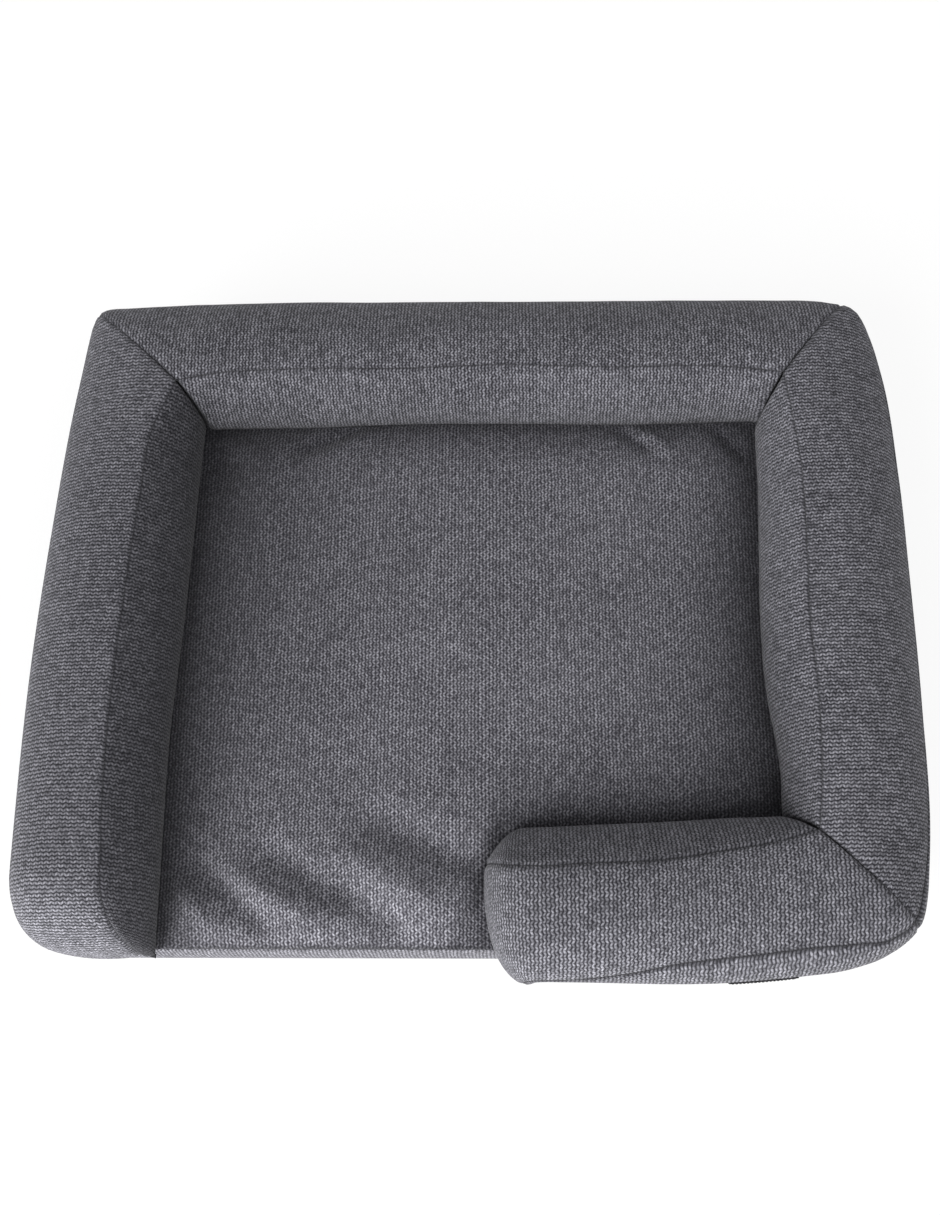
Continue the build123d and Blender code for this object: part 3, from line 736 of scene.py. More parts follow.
# Waves of the gathers: how many to a pitch, and how strong
GATHER_WAVES = ((1.0, 0.5), (1.62, 0.3), (2.45, 0.2))
GATHER_SHIFT = 1.7
# Width of the painted shade along a seam, and its strength along a corner seam
SEAM_WIDTH = 0.0016
CORNER_SHADE = 0.6
# Painted shade of a low outer seam and what a high one adds, and how much wider the high one's painted shade
# is
OUTER_SHADE, OUTER_SHADE_HIGH, OUTER_WIDER = 0.7, 0.3, 0.7
CREASE_POWER = 1.5
LEAST_NORMAL = 1e-12
# Steps between the numbers that set bolsters and their panels apart in the weave
BOLSTER_NUMBER, PANEL_NUMBER = 0.37, 0.5
# Painted shade at the foot of an inner panel: how much it darkens the cloth, and how far up that reaches
CREASES = {"left": (0.92, 0.115), "back": (0.30, 0.014), "right": (0.50, 0.034), "front": (0.10, 0.020)}


def between(points, at):
    """A smooth line through the points along the first axis, read at fractional places."""
    count = len(points)
    at = np.clip(at, 0, count - 1)
    index = np.minimum(at.astype(int), count - 2)
    t = (at - index).reshape((-1,) + (1,) * (points.ndim - 1))
    before = points[np.maximum(index - 1, 0)]
    first, second = points[index], points[index + 1]
    after = points[np.minimum(index + 2, count - 1)]
    return 0.5 * (2 * first + (second - before) * t + (2 * before - 5 * first + 4 * second - after) * t**2
                  + (3 * first - before - 3 * second + after) * t**3)


def crowded(count):
    """Places from 0 to 1 that crowd at both ends."""
    return (1 - np.cos(np.linspace(0, math.pi, count + 1))) / 2


def finer_grid(grid):
    """The grid with more rows and crowded places, and where each stretch starts."""
    stretches, firsts, first, total = [], [], 0, 0
    closed = np.concatenate((grid, grid[:, :1]), 1)
    for count, fine in zip(STEPS, FINE_STEPS):
        panel = np.moveaxis(closed[:, first:first + count + 1], 1, 0)
        place = crowded(fine)[:-1] * count
        stretches.append(np.moveaxis(between(panel, place), 0, 1))
        firsts.append(total)
        first += count
        total += fine
    fine = np.concatenate(stretches, 1)
    rows = len(fine)
    place = np.linspace(0, rows - 1, (rows - 1) * ROW_DIVISION + 1)
    ease = EASED_ROWS * ROW_DIVISION
    place[-ease:] = place[-ease] + (place[-1] - place[-ease]) * np.sin(np.linspace(0, math.pi / 2, ease))
    return between(fine, place), firsts


def grid_normals(grid):
    """Unit normals of a closed grid, all to one side of it."""
    normal = np.cross(np.gradient(grid, axis=0), (np.roll(grid, -1, 1) - np.roll(grid, 1, 1)) / 2)
    return normal / np.maximum(np.linalg.norm(normal, axis=-1, keepdims=True), LEAST_NORMAL)


def run_lengths(grid):
    """Distance along the cloth in both directions of the grid."""
    ahead, aside = (np.linalg.norm(np.diff(grid, axis=axis), axis=-1) for axis in (0, 1))
    ahead = np.concatenate((np.zeros((1, grid.shape[1])), np.cumsum(ahead, 0)))
    aside = np.concatenate((np.zeros((len(grid), 1)), np.cumsum(aside, 1)), 1)
    return ahead, aside


def seam_distance(grid, seam, aside):
    """Distance of every place from one seam along the bolster."""
    whole = aside[:, -1:] + np.linalg.norm(grid[:, -1:] - grid[:, :1], axis=-1)
    gap = np.abs(aside - aside[:, seam][:, None])
    return np.minimum(gap, whole - gap)


def gathers(along, seed):
    """Small uneven waves along a seam, from -1 to 1."""
    waves = np.zeros_like(along)
    for number, (stretch, strength) in enumerate(GATHER_WAVES):
        shift = seed * (number + 1) * GATHER_SHIFT
        waves += strength * np.sin(2 * math.pi * along * stretch / GATHER_PITCH + shift)
    return waves


def run_axis(spec):
    """The axis that a bolster runs along."""
    return 1 if spec["sign"][0] else 0


def bell(distance, width):
    """One at a seam, falling off to nothing within about two widths."""
    return np.exp(-((distance / width) ** 2))


def cover_shade(name, fine, firsts, sewn_on, corner, outer_seam, foot_seam):
    """Painted shade on the cloth: in its seams, and along the foot of the inner panel."""
    high = 1 - smooth_table(BOLSTERS[name]["low"], fine[..., run_axis(BOLSTERS[name])])
    outside = bell(outer_seam, SEAM_WIDTH * (1 + OUTER_WIDER * high))
    outside = (OUTER_SHADE + OUTER_SHADE_HIGH * high) * outside
    seams = np.max((bell(sewn_on, SEAM_WIDTH), CORNER_SHADE * bell(corner, SEAM_WIDTH), outside), 0)
    # Painted shade along the foot crease of the inner panel
    strength, reach = CREASES[name]
    inside = np.arange(fine.shape[1]) >= firsts[3]
    crease = np.where(inside, strength * np.exp(-((foot_seam / reach) ** CREASE_POWER)), 0)
    shade = 1 - (1 - seams) * (1 - crease)
    shade[:, firsts[4]:] = 0
    return shade


def cover_places(name, fine, firsts, ahead, aside, seed):
    """Places on the cloth: along the bolster, round it, and a number for its panel."""
    spec = BOLSTERS[name]
    along = fine[..., run_axis(spec)]
    if spec["free"]:
        fan = FAN_ROWS * ROW_DIVISION
        along = np.concatenate((along[fan:fan + 1] + (ahead[:fan] - ahead[fan:fan + 1]), along[fan:]))
    panel = np.searchsorted(np.array(firsts), np.arange(fine.shape[1]), side="right")
    places = np.zeros(fine.shape)
    places[..., 0] = along * ROW_SCALE[name]
    places[..., 1] = aside.mean(0)[None, :]
    places[..., 2] = seed * BOLSTER_NUMBER + np.where(panel <= 2, 0, panel) * PANEL_NUMBER
    return places


def sewn(name, grid, seed):
    """Points, cloth places, seam shade, first columns and normals of one bolster's finished cover."""
    fine, firsts = finer_grid(grid)
    normal = grid_normals(fine)
    if float(((fine - fine.mean(1, keepdims=True)) * normal).sum()) < 0:
        normal = -normal
    ahead, aside = run_lengths(fine)
    outer_seam, inner_seam, foot_seam = (seam_distance(fine, first, aside) for first in firsts[2:])
    sewn_on = np.minimum(inner_seam, foot_seam)
    corner = ahead[-1:] - ahead
    if not BOLSTERS[name]["free"]:
        corner = np.minimum(corner, ahead)
    nearest = np.minimum(sewn_on, corner)
    lift = np.minimum(-GROOVE_DEPTH * bell(nearest, GROOVE_WIDTH),
                      -OUTER_GROOVE_DEPTH * bell(outer_seam, GROOVE_WIDTH))
    reach = np.exp(-nearest / GATHER_REACH) * (1 - bell(nearest, GATHER_START))
    lift += GATHER_HEIGHT * gathers(np.where(sewn_on < corner, ahead, aside), seed) * reach
    lift[:, firsts[4]:] = 0
    points = fine + normal * lift[..., None]
    points[..., 2] = np.maximum(points[..., 2], REST)
    shade = cover_shade(name, fine, firsts, sewn_on, corner, outer_seam, foot_seam)
    return points, cover_places(name, fine, firsts, ahead, aside, seed), shade, firsts, normal


def give_attributes(mesh, places, shade):
    """Hand a mesh its places on the cloth and how much painted shade each has, for the shader."""
    cloth = mesh.attributes.new("cloth", "FLOAT_VECTOR", "POINT")
    cloth.data.foreach_set("vector", places.reshape(-1).astype(np.float32))
    # The seam attribute carries the painted shade of seams and creases
    seam = mesh.attributes.new("seam", "FLOAT", "POINT")
    seam.data.foreach_set("value", shade.reshape(-1).astype(np.float32))


covers, seam_lines = {}, {}
for number, (name, grid) in enumerate(grids.items()):
    points, places, shade, firsts, normal = sewn(name, grid, number + 1.0)
    rows, around = points.shape[:2]
    faces = grid_faces(rows, around)
    cover = mesh_object(name + "_bolster", points.reshape(-1, 3), faces)
    if signed_volume(points) < 0:
        cover.data.flip_normals()
    give_attributes(cover.data, places, shade)
    cover.data.materials.append(bolster_cloth)
    smooth = [True] * (len(faces) - 2) + [False, False]
    cover.data.polygons.foreach_set("use_smooth", smooth)
    covers[name] = cover
    seam_lines[name] = {"points": points, "normals": normal, "firsts": firsts}
    print(cover.name, "has", len(faces), "faces")

# %% [markdown]
# The mattress is one sewn cover: a top sheet that swells over the foam, bands round its sides and
# a base. Its top follows from the picture: low along the creases where the bolsters are sewn on,
# full in the middle, with a few long folds at the front left where a dog steps in, and short ones
# that run from the back crease. Each fold is a line with a height and a width.

# %% Mattress cover
MATTRESS_HALF_X, MATTRESS_HALF_Y = 0.423, 0.336
CORNER_RADIUS = 0.045
CROWN = 0.021
BAND_BULGE = 0.004
BAND_LOW, BAND_HIGH = 0.0015, 0.0765
ZIP_HEIGHT = 0.038
ZIP_HALF = 0.284
SLOT_HALF = 0.007
SLOT_LIP = 0.0010
POCKET_Y = 0.3312
SHEET_STEP = 0.0055
# Places nearer than this to one that is asked for give way to it
LEAST_STEP = 0.002
SLACK = 1e-6
THREAD_STANDS_OFF = 0.0003
# How far in from each crease the crown reaches its height, and how round its shoulder is
CROWN_EDGES = (0.095, 0.080, 0.070, 0.055)
CROWN_POWER = 2.2
# Where the top sheet passes from the open front edge to the front bolster, and over what length
ENTRY_EDGE, ENTRY_BLEND = 0.010, 0.010
# Painted shade at the creases: how strong it is, and how far that reaches at the front and at the back: left,
# right, back, front
SHEET_CREASES = ((0.88, 0.050, 0.150), (0.78, 0.105, 0.055), (0.30, 0.014, 0.014), (0.64, 0.050, 0.050))
CREASE_FRONT_Y, CREASE_BACK_Y = -0.30, 0.23
# The top sheet's last strip before its seam, and how much painted shade it gets
EDGE_STRIP = 0.0022
EDGE_SHADE = 0.6
STEP_SLACK = 0.0001
# The bands' seams: heights, widths and depth, the gathers beside the top one, and where the painted shade of
# the top one is darkest
TOP_SEAM, TOP_SEAM_WIDTH, BASE_SEAM, BASE_SEAM_WIDTH = 0.0768, 0.0012, 0.0020, 0.0010
BAND_GROOVE = 0.0022
BAND_GATHER, BAND_GATHER_REACH, BAND_GATHER_SEED = 0.0005, 0.014, 3.0
SHADE_LEVEL = 0.0767
BAND_LEVELS = (
    BAND_HIGH, 0.0755, 0.073, 0.068, 0.060, 0.053, ZIP_HEIGHT + SLOT_HALF + SLOT_LIP, ZIP_HEIGHT + SLOT_HALF,
    ZIP_HEIGHT - SLOT_HALF, ZIP_HEIGHT - SLOT_HALF - SLOT_LIP, 0.024, 0.016, 0.009, 0.0045, 0.0025, BAND_LOW,
    0.0,
)
# Numbers that set the sheet's and the bands' weave apart from the bolsters'
SHEET_NUMBER, BAND_NUMBER = 5.0, 6.0
# Folds: two ends in plan, height of the ridge (below zero is a hollow), half width
FOLDS = [
    ((-0.299, -0.271), (-0.253, -0.321), 0.0055, 0.009),
    ((-0.289, -0.244), (-0.200, -0.317), -0.0120, 0.014),
    ((-0.249, -0.262), (-0.146, -0.317), 0.0060, 0.015),
    ((-0.211, -0.240), (-0.128, -0.283), -0.0100, 0.014),
    ((-0.140, -0.276), (-0.065, -0.318), -0.0115, 0.016),
    ((-0.134, -0.240), (-0.028, -0.296), 0.0060, 0.017),
    ((-0.105, -0.207), (0.018, -0.258), -0.0135, 0.018),
    ((0.150, 0.238), (0.196, 0.196), -0.0085, 0.008),
    ((0.172, 0.238), (0.220, 0.190), 0.0050, 0.010),
    ((-0.120, 0.238), (-0.192, 0.200), -0.0085, 0.008),
    ((-0.100, 0.238), (-0.160, 0.190), 0.0045, 0.010),
    ((0.262, 0.234), (0.296, 0.192), -0.0080, 0.009),
    ((-0.304, 0.212), (-0.262, 0.165), -0.0065, 0.012),
    ((-0.285, 0.232), (-0.235, 0.190), 0.0040, 0.010),
    ((0.300, -0.130), (0.255, -0.165), -0.0050, 0.016),
]
# How much of a fold's length is full, over what it fades, and how soon swells and folds set in at an edge
FOLD_HALF, FOLD_FADE = 0.32, 0.2
SWELLS_SET_IN, FOLDS_SET_IN = 2, 2.5
# Swells of the foam: across, along, size and height, between two limits each
SWELL_LIMITS = ((-0.35, 0.35), (-0.33, 0.25), (0.03, 0.07), (-0.0016, 0.0016))
SWELL_SEED, SWELL_COUNT = 11, 46
rng = np.random.default_rng(SWELL_SEED)
SWELLS = [[rng.uniform(*limits) for limits in SWELL_LIMITS] for _ in range(SWELL_COUNT)]


def crease_gaps(x, y):
    """Distances in plan from the left, right, back and front creases, and the bolster's share in front."""
    left = -(HALF_WIDTH - smooth_table(BOLSTERS["left"]["foot"], y))
    right = HALF_WIDTH - smooth_table(BOLSTERS["right"]["foot"], y)
    back = HALF_DEPTH - smooth_table(BOLSTERS["back"]["foot"], x)
    step = 1 / (1 + np.exp(-(x - ENTRY_EDGE) / ENTRY_BLEND))
    front_bolster = -(HALF_DEPTH - smooth_table(BOLSTERS["front"]["foot"], x))
    front = -MATTRESS_HALF_Y * (1 - step) + front_bolster * step
    return (x - left, right - x, back - y, y - front), step


def crease_shade(x, y):
    """How much painted shade the top sheet gets near its creases."""
    gaps, step = crease_gaps(x, y)
    kept = np.ones_like(x)
    share = np.clip((y - CREASE_FRONT_Y) / (CREASE_BACK_Y - CREASE_FRONT_Y), 0, 1)
    for gap, (strength, reach_front, reach_back), here in zip(gaps, SHEET_CREASES, (1, 1, 1, step)):
        reach = reach_front + (reach_back - reach_front) * share
        kept = kept * (1 - here * strength * np.exp(-((np.maximum(gap, 0) / reach) ** CREASE_POWER)))
    return 1 - kept


def crown_height(x, y):
    """Height of the top sheet above the deck at places of the plan."""
    edges = [np.clip(gap / reach, 0, 1) for gap, reach in zip(crease_gaps(x, y)[0], CROWN_EDGES)]
    rise = CROWN
    for edge in edges:
        rise = rise * (1 - (1 - edge) ** CROWN_POWER)
    creases = rise / CROWN
    for x0, y0, size, height in SWELLS:
        swell = height * np.exp(-((x - x0) ** 2 + (y - y0) ** 2) / size**2)
        rise = rise + swell * np.clip(creases * SWELLS_SET_IN, 0, 1)
    for (x1, y1), (x2, y2), height, width in FOLDS:
        dx, dy = x2 - x1, y2 - y1
        length2 = dx * dx + dy * dy
        t = ((x - x1) * dx + (y - y1) * dy) / length2
        off = ((x - x1) * dy - (y - y1) * dx) / math.sqrt(length2)
        fade = bell(np.maximum(np.abs(t - 0.5) - FOLD_HALF, 0), FOLD_FADE)
        rise = rise + height * bell(off, width) * fade * np.clip(creases * FOLDS_SET_IN, 0, 1)
    return rise


def rounded(x, y):
    """Places of a square grid moved so that its corners are round."""
    corner_x, corner_y = MATTRESS_HALF_X - CORNER_RADIUS, MATTRESS_HALF_Y - CORNER_RADIUS
    dx, dy = np.maximum(np.abs(x) - corner_x, 0), np.maximum(np.abs(y) - corner_y, 0)
    length = np.hypot(dx, dy)
    scale = np.where(length > 0, np.maximum(dx, dy) / np.maximum(length, TINY), 1)
    return (np.where(dx > 0, np.sign(x) * (corner_x + dx * scale), x),
            np.where(dy > 0, np.sign(y) * (corner_y + dy * scale), y))


def even_places(half, extra):
    """Even places from one side to the other, with some that have to be among them."""
    places = set(np.round(np.linspace(-half, half, int(round(2 * half / SHEET_STEP)) + 1), 5))
    for value in extra:
        places = {place for place in places if abs(place - value) > LEAST_STEP} | {value}
    return np.array(sorted(places))


def band_bulge(level):
    """How far the bands stand out at a height."""
    share = (level - BAND_LOW) / (BAND_HIGH - BAND_LOW)
    return BAND_BULGE * 4 * share * (1 - share)


def band_ring(level, rim, outward, run):
    """The bands' places in plan at one height, under the rim of the top sheet."""
    groove = BAND_GROOVE * (math.exp(-((level - TOP_SEAM) / TOP_SEAM_WIDTH) ** 2)
                            + math.exp(-((level - BASE_SEAM) / BASE_SEAM_WIDTH) ** 2))
    fading = math.exp(-abs(level - TOP_SEAM) / BAND_GATHER_REACH)
    gather = BAND_GATHER * gathers(run, BAND_GATHER_SEED) * fading
    return rim[:, :2] + outward * (band_bulge(max(level, BAND_LOW)) - groove + gather)[:, None]


def mattress_cover():
    """The sewn cover as one object, and the line of its top seam."""
    edge_x, edge_y = MATTRESS_HALF_X - EDGE_STRIP, MATTRESS_HALF_Y - EDGE_STRIP
    zip_end = ZIP_HALF + SLOT_LIP
    xs = even_places(MATTRESS_HALF_X, (-edge_x, -zip_end, -ZIP_HALF, ZIP_HALF, zip_end, edge_x))
    ys = even_places(MATTRESS_HALF_Y, (-edge_y, edge_y))
    grid_x, grid_y = np.meshgrid(xs, ys, indexing="ij")
    x, y = rounded(grid_x, grid_y)
    top = np.stack((x, y, DECK + crown_height(x, y)), -1)
    nx, ny = len(xs), len(ys)
    faces, loop = list(grid_quads(nx, ny)), grid_rim(nx, ny)
    rim = np.array([top[i, j] for i, j in loop])
    around = len(rim)
    inner = np.array((MATTRESS_HALF_X, MATTRESS_HALF_Y)) - CORNER_RADIUS
    outward = rim[:, :2] - np.clip(rim[:, :2], -inner, inner)
    outward /= np.linalg.norm(outward, axis=1, keepdims=True)
    run = np.concatenate(([0], np.cumsum(np.linalg.norm(np.diff(rim[:, :2], axis=0), axis=1))))
    pocket = (rim[:, 1] > MATTRESS_HALF_Y - SLACK) & (np.abs(rim[:, 0]) <= ZIP_HALF - SLACK)
    ring = rim_ids = [i * ny + j for i, j in loop]
    points = [top.reshape(-1, 3)]
    places = [np.column_stack((x.reshape(-1), y.reshape(-1), np.full(nx * ny, SHEET_NUMBER)))]
    shades = []
    for number, level in enumerate(BAND_LEVELS):
        place = band_ring(level, rim, outward, run)
        height = np.full(around, level)
        if number == 0:
            top_seam = np.column_stack((place + outward * THREAD_STANDS_OFF, height))
        if abs(level - ZIP_HEIGHT) <= SLOT_HALF + SLACK:
            place[pocket, 1] = POCKET_Y
        points.append(np.column_stack((place, height)))
        places.append(np.column_stack((run, height, np.full(around, BAND_NUMBER))))
        # Painted shade along the bands' top seam
        shades.append(bell(height - SHADE_LEVEL, SEAM_WIDTH))
        below = list(range(nx * ny + number * around, nx * ny + (number + 1) * around))
        for a in range(around):
            b = (a + 1) % around
            faces.append((ring[a], below[a], below[b], ring[b]))
        ring = below
    faces.append(tuple(reversed(ring)))
    cover = mesh_object("mattress_cover", np.concatenate(points), faces)
    # Painted shade near the creases of the top sheet
    sheet_shade = crease_shade(x, y).reshape(-1)
    # The strip by the seam and the rim itself get painted seam shade
    strip = (np.abs(grid_x) > edge_x - STEP_SLACK) | (np.abs(grid_y) > edge_y - STEP_SLACK)
    sheet_shade[strip.reshape(-1)] = EDGE_SHADE
    sheet_shade[rim_ids] = 1.0
    give_attributes(cover.data, np.concatenate(places), np.concatenate([sheet_shade] + shades))
    cover.data.materials.append(mattress_cloth)
    cover.data.polygons.foreach_set("use_smooth", [True] * (len(faces) - 1) + [False])
    print(cover.name, "has", len(faces), "faces")
    return cover, top_seam


mattress, mattress_seam = mattress_cover()

# %% [markdown]
# Threads, the zip and the patch are the small things. The CAD teeth, stops, slider and pull are
# kept as they are, with plastic and metal finishes. The tapes and the patch are cloth, so they
# are drawn again, thin and closed, over the model's own.

# %% Plastic, metal and tape
# Scales of the noises, per metre: grain and wear of plastic, brushing along and across and wear of metal
PLASTIC_GRAIN, PLASTIC_WEAR = 900.0, 140.0
BRUSHED_ALONG, BRUSHED_ACROSS, METAL_WEAR = 300, 2600, 220.0
# Level of the wear's noise from which it shows, and how strongly it shows on plastic
PLASTIC_WORN_FROM, METAL_WORN_FROM, PLASTIC_WORN = 0.35, 0.4, 0.7
# What the grain and the brushing add to roughness, and the metal's least
GRAIN_ROUGH, BRUSHED_ROUGH, LEAST_ROUGH = 0.2, 0.22, 0.26


def moulded(name, colour, rough):
    """A moulded plastic, or a waxed thread, with a fine grain and some wear."""
    paint = Paint(name, Specular_IOR_Level=0.45)
    place = paint.node("ShaderNodeTexCoord", None, None, "Object")
    grain = paint.noise(place, PLASTIC_GRAIN, 3.0)
    wear = paint.noise(place, PLASTIC_WEAR, 4.0, 0.6)
    wear_and_painted_shade = (wear - PLASTIC_WORN_FROM).clip() * PLASTIC_WORN
    paint.feed(paint.shader, {
        "Base Color": paint.mix(wear_and_painted_shade, colour, written(96, 96, 100)),
        "Roughness": grain * GRAIN_ROUGH + rough,
        "Normal": paint.bump(grain, 0.00005),
    })
    return paint.material


def brushed(name, colour):
    """A metal that was brushed along its length."""
    paint = Paint(name, Metallic=1.0)
    place = paint.node("ShaderNodeTexCoord", None, None, "Object")
    x, y, z = paint.split(place)
    lines = paint.noise(paint.join(x * BRUSHED_ALONG, y * BRUSHED_ACROSS, z * BRUSHED_ACROSS), 1.0, 2.0)
    wear = paint.noise(place, METAL_WEAR, 4.0, 0.65)
    paint.feed(paint.shader, {
        "Base Color": paint.mix((wear - METAL_WORN_FROM).clip(), colour, written(150, 150, 155)),
        "Roughness": lines * BRUSHED_ROUGH + LEAST_ROUGH,
        "Normal": paint.bump(lines, 0.00003),
    })
    return paint.material


tape_cloth = woven_cloth("tape cloth", 0.0011, 0.0022, written(20, 20, 23), written(72, 72, 78), 0.0002)
patch_cloth = woven_cloth("patch cloth", 0.0007, 0.0016, written(12, 12, 14), written(48, 48, 52), 0.0001)
tooth_plastic = moulded("tooth plastic", written(34, 34, 37), 0.38)
slider_metal = brushed("slider metal", written(92, 92, 98))
stop_metal = brushed("stop metal", written(120, 120, 124))
FINISHES = {
    "zip_teeth_upper": tooth_plastic, "zip_teeth_lower": tooth_plastic, "zip_stop_left": stop_metal,
    "zip_stop_right": stop_metal, "zip_slider": slider_metal, "zip_pull": slider_metal,
}
for node, finish in FINISHES.items():
    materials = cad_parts[node].data.materials
    materials.clear()
    materials.append(finish)
print("finishes:", len(FINISHES))

# %% Tapes and patch
# Faces of the tape: steps along and across, how far in from the model's, and its slight waves
TAPE_STEPS = (141, 9)
TAPE_INSET = 0.00015
TAPE_WAVE, TAPE_WAVE_LENGTH, TAPE_WAVE_LEAN = 0.00012, 0.055, 400
TAPE_NUMBER, PATCH_NUMBER = 8.0, 9.0


def thin_strip(name, outline_grid, thickness, normal):
    """A closed strip: the grid in front, the same grid behind it, and walls between them."""
    rows, columns = outline_grid.shape[:2]
    behind = outline_grid - np.asarray(normal) * thickness
    points = np.concatenate((outline_grid.reshape(-1, 3), behind.reshape(-1, 3)))
    half = rows * columns
    faces = []
    for a, b, c, d in grid_quads(rows, columns):
        faces += [(a, d, c, b), (a + half, b + half, c + half, d + half)]
    ids = [row * columns + column for column, row in grid_rim(columns, rows)]
    for a, b in zip(ids, ids[1:] + ids[:1]):
        faces.append((b, a, a + half, b + half))
    return mesh_object(name, points, faces), points


def dress_strip(made, points, axes, number, cloth, towards):
    """Cloth on a strip: its places' axes and number, flat faces, turned to look towards a side."""
    places = points[:, [*axes, 0]].copy()
    places[:, 2] = number
    give_attributes(made.data, places, np.zeros(len(points)))
    made.data.materials.append(cloth)
    if made.data.polygons[0].normal.dot(Vector(towards)) < 0:
        made.data.flip_normals()
    made.data.polygons.foreach_set("use_smooth", [False] * len(made.data.polygons))


def zip_tape(name, node):
    """A woven tape over the model's own, a little thinner."""
    low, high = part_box(node)
    x, z = np.meshgrid(np.linspace(low.x, high.x, TAPE_STEPS[0]), np.linspace(low.z, high.z, TAPE_STEPS[1]),
                       indexing="ij")
    wave = TAPE_WAVE * np.sin(x * 2 * math.pi / TAPE_WAVE_LENGTH + z * TAPE_WAVE_LEAN)
    front = np.stack((x, np.full_like(x, high.y - TAPE_INSET) + wave, z), -1)
    made, points = thin_strip(name, front, high.y - low.y - 2 * TAPE_INSET, (0, 1, 0))
    dress_strip(made, points, (2, 0), TAPE_NUMBER, tape_cloth, (0, 1, 0))
    return made


TAPE_NODES = ("zip_tape_upper", "zip_tape_lower")
tapes = {node: zip_tape(node.replace("zip_tape", "woven_tape"), node) for node in TAPE_NODES}
print("tapes:", [tape.name for tape in tapes.values()])

# %% Patch on the front bolster
PATCH_X = (0.249, 0.315)
PATCH_THICKNESS = 0.0010
PATCH_HEIGHTS = (0.090, 0.112)
PATCH_STEPS = (23, 9)
PATCH_STANDS_OFF = 0.0003
PATCH_STITCH_GAP = 0.0002


def patch_on(cover_points, firsts):
    """A strip that lies on the front bolster's outer face, between two heights."""
    face = cover_points[:, firsts[0]:firsts[2]]
    xs, zs = np.linspace(*PATCH_X, PATCH_STEPS[0]), np.linspace(*PATCH_HEIGHTS, PATCH_STEPS[1])
    grid = np.zeros((len(xs), len(zs), 3))
    row_x = face[:, :, 0].mean(1)
    for i, x in enumerate(xs):
        row = int(np.clip(np.searchsorted(row_x, x), 1, len(row_x) - 1))
        share = (x - row_x[row - 1]) / (row_x[row] - row_x[row - 1])
        line = face[row - 1] * (1 - share) + face[row] * share
        order = np.argsort(line[:, 2])
        grid[i, :, 0] = x
        grid[i, :, 1] = np.interp(zs, line[order, 2], line[order, 1])
        grid[i, :, 2] = zs
    grid[:, :, 1] -= PATCH_THICKNESS + PATCH_STANDS_OFF
    return grid


patch_grid = patch_on(seam_lines["front"]["points"], seam_lines["front"]["firsts"])
patch, patch_points = thin_strip("plain_patch", patch_grid, PATCH_THICKNESS, (0, -1, 0))
dress_strip(patch, patch_points, (0, 2), PATCH_NUMBER, patch_cloth, (0, -1, 0))
print("patch:", len(patch.data.polygons), "faces")

# %% [markdown]
# The thread shows as rows of small dark stitches in the seams, round the patch and beside the
# zip. Geometry Nodes set them out: every seam is a line of edges, the tree walks along it at one
# pitch, puts a bead at each step, turns it along the line and varies its size a little. The
# result is made into one plain mesh, because the stitches all ride on the bed.

# %% Lines that are sewn
BESIDE_ZIP = 0.0045
ZIP_LINE_STEPS = 60


def seam_line(name, stretch):
    """One seam along a bolster, lifted a little off the cloth."""
    line = seam_lines[name]
    column = line["firsts"][stretch]
    return line["points"][:, column] + line["normals"][:, column] * THREAD_STANDS_OFF


def corner_line(name, row):
    """The corner seam at one end of a bolster, from its outer face to its inner foot."""
    line = seam_lines[name]
    seam = line["points"][row, line["firsts"][1]:line["firsts"][4]].copy()
    seam[:, 2] += THREAD_STANDS_OFF
    return seam


def zip_line(height):
    """A line on the back band beside the zip."""
    x = np.linspace(-ZIP_HALF, ZIP_HALF, ZIP_LINE_STEPS)
    y = np.full_like(x, MATTRESS_HALF_Y + band_bulge(height) + THREAD_STANDS_OFF)
    return np.column_stack((x, y, np.full_like(x, height)))


def patch_rim():
    """A closed line just inside the edge of the patch."""
    inner = patch_grid[1:-1, 1:-1] - np.array((0, PATCH_STITCH_GAP, 0))
    return np.concatenate((inner[:, 0], inner[-1, 1:], inner[-2::-1, -1], inner[0, -2::-1]))


sewn_lines = [seam_line(name, stretch) for name in BOLSTERS for stretch in (2, 3)]
sewn_lines += [corner_line("left", -1), corner_line("back", -1), corner_line("right", 0)]
sewn_lines += [np.concatenate((mattress_seam, mattress_seam[:1])), patch_rim()]
sewn_lines += [zip_line(ZIP_HEIGHT - SLOT_HALF - BESIDE_ZIP), zip_line(ZIP_HEIGHT + SLOT_HALF + BESIDE_ZIP)]
print("sewn lines:", len(sewn_lines))

# %% Stitches
STITCH_SIZES = {"Pitch": 0.0036, "Length": 0.0027, "Thickness": 0.0007}
STITCH_SEED = 5
STITCH_VARIES = {"Min": 0.85, "Max": 1.12}
BEAD = {"Segments": 6, "Rings": 4, "Radius": 0.5}


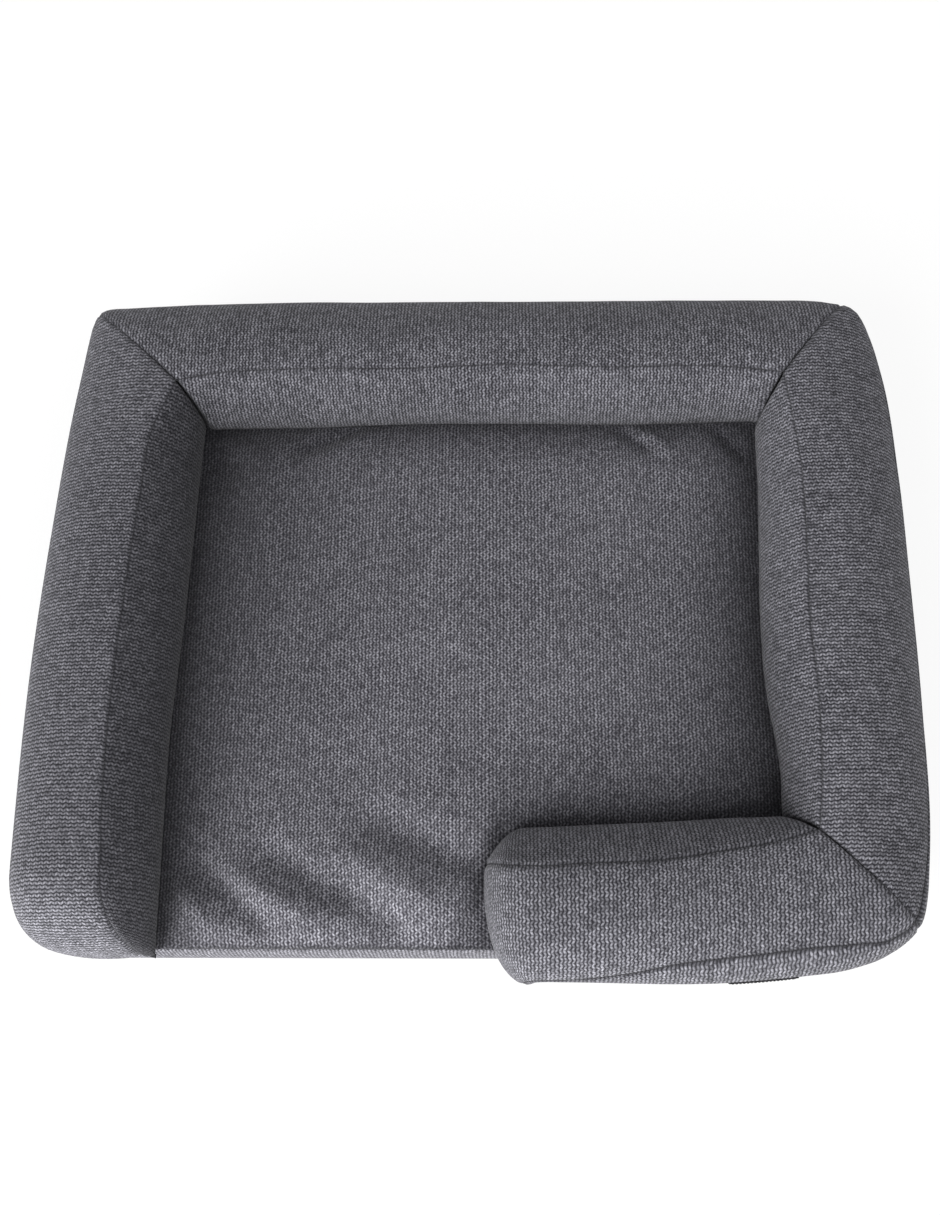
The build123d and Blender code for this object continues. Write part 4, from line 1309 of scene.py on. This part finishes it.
def stitch_tree(thread):
    """The node tree that turns lines of edges into rows of stitches."""
    tree = bpy.data.node_groups.new("stitches", "GeometryNodeTree")
    for side in ("INPUT", "OUTPUT"):
        tree.interface.new_socket("Geometry", in_out=side, socket_type="NodeSocketGeometry")
    for name in STITCH_SIZES:
        tree.interface.new_socket(name, in_out="INPUT", socket_type="NodeSocketFloat")

    def node(kind, **settings):
        made = tree.nodes.new(kind)
        for key, value in settings.items():
            setattr(made, key, value)
        return made

    def number_socket(sockets, name):
        """The one of several sockets of one name that takes or gives a plain number."""
        return next(socket for socket in sockets if socket.name == name and socket.type == "VALUE")

    given = node("NodeGroupInput")
    curve = node("GeometryNodeMeshToCurve")
    even = node("GeometryNodeResampleCurve", mode="LENGTH")
    bead = node("GeometryNodeMeshUVSphere")
    for name, value in BEAD.items():
        bead.inputs[name].default_value = value
    way = node("GeometryNodeInputTangent")
    turn = node("FunctionNodeAlignRotationToVector", axis="X")
    size = node("ShaderNodeCombineXYZ")
    vary = node("FunctionNodeRandomValue", data_type="FLOAT")
    scaled = node("ShaderNodeVectorMath", operation="SCALE")
    place = node("GeometryNodeInstanceOnPoints")
    real = node("GeometryNodeRealizeInstances")
    coat = node("GeometryNodeSetMaterial")
    coat.inputs["Material"].default_value = thread
    for name, value in STITCH_VARIES.items():
        number_socket(vary.inputs, name).default_value = value
    vary.inputs["Seed"].default_value = STITCH_SEED
    tree.links.new(number_socket(vary.outputs, "Value"), scaled.inputs["Scale"])
    for source, output, target, socket in (
        (given, "Geometry", curve, "Mesh"), (curve, "Curve", even, "Curve"), (given, "Pitch", even, "Length"),
        (way, "Tangent", turn, "Vector"), (given, "Length", size, "X"), (given, "Thickness", size, "Y"),
        (given, "Thickness", size, "Z"), (size, "Vector", scaled, "Vector"), (even, "Curve", place, "Points"),
        (bead, "Mesh", place, "Instance"), (turn, "Rotation", place, "Rotation"),
        (scaled, "Vector", place, "Scale"), (place, "Instances", real, "Geometry"),
        (real, "Geometry", coat, "Geometry"), (coat, "Geometry", node("NodeGroupOutput"), "Geometry"),
    ):
        tree.links.new(source.outputs[output], target.inputs[socket])
    return tree


def sew(lines, tree):
    """A plain mesh of stitches along the lines."""
    mesh = bpy.data.meshes.new("seam_thread")
    points, edges = [], []
    for line in lines:
        edges += [(len(points) + number, len(points) + number + 1) for number in range(len(line) - 1)]
        points += [tuple(point) for point in line]
    mesh.from_pydata(points, edges, [])
    path = put("seam_path", mesh)
    rows = path.modifiers.new("stitches", "NODES")
    rows.node_group = tree
    sizes = {item.name: item.identifier for item in tree.interface.items_tree if item.in_out == "INPUT"}
    for name, value in STITCH_SIZES.items():
        rows[sizes[name]] = value
    ready = path.evaluated_get(bpy.context.evaluated_depsgraph_get())
    plain = bpy.data.meshes.new_from_object(ready)
    bpy.data.objects.remove(path)
    made = put("seam_stitches", plain)
    plain.polygons.foreach_set("use_smooth", [True] * len(plain.polygons))
    return made


thread = moulded("dark thread", written(30, 30, 34), 0.6)
stitches = sew(sewn_lines, stitch_tree(thread))
print(stitches.name, "has", len(stitches.data.polygons), "faces")

# %% [markdown]
# Every piece now rides on the body that carries it. The model's own cloth solids that it stands for stay for
# collision and aren't shown.

# %% Put the pieces on their bodies
BOLSTER_PARTS = ("outer_panel", "top_panel", "inner_panel", "fibre_fill")
STANDS_FOR = {name: [f"{name}_{part}" for part in BOLSTER_PARTS] for name in BOLSTERS}
for name, cover in covers.items():
    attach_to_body(cover, "bed")
    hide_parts(*STANDS_FOR[name])

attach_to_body(mattress, "bed")
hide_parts("sleep_panel", "deck_panel", "top_wadding", "mattress_foam", "mattress_liner",
            "base_panel", "front_band", "left_band", "right_band", "back_band")

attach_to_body(patch, "bed")
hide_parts("sewn_patch")

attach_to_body(stitches, "bed")

for node, tape in tapes.items():
    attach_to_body(tape, "bed")
    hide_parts(node)
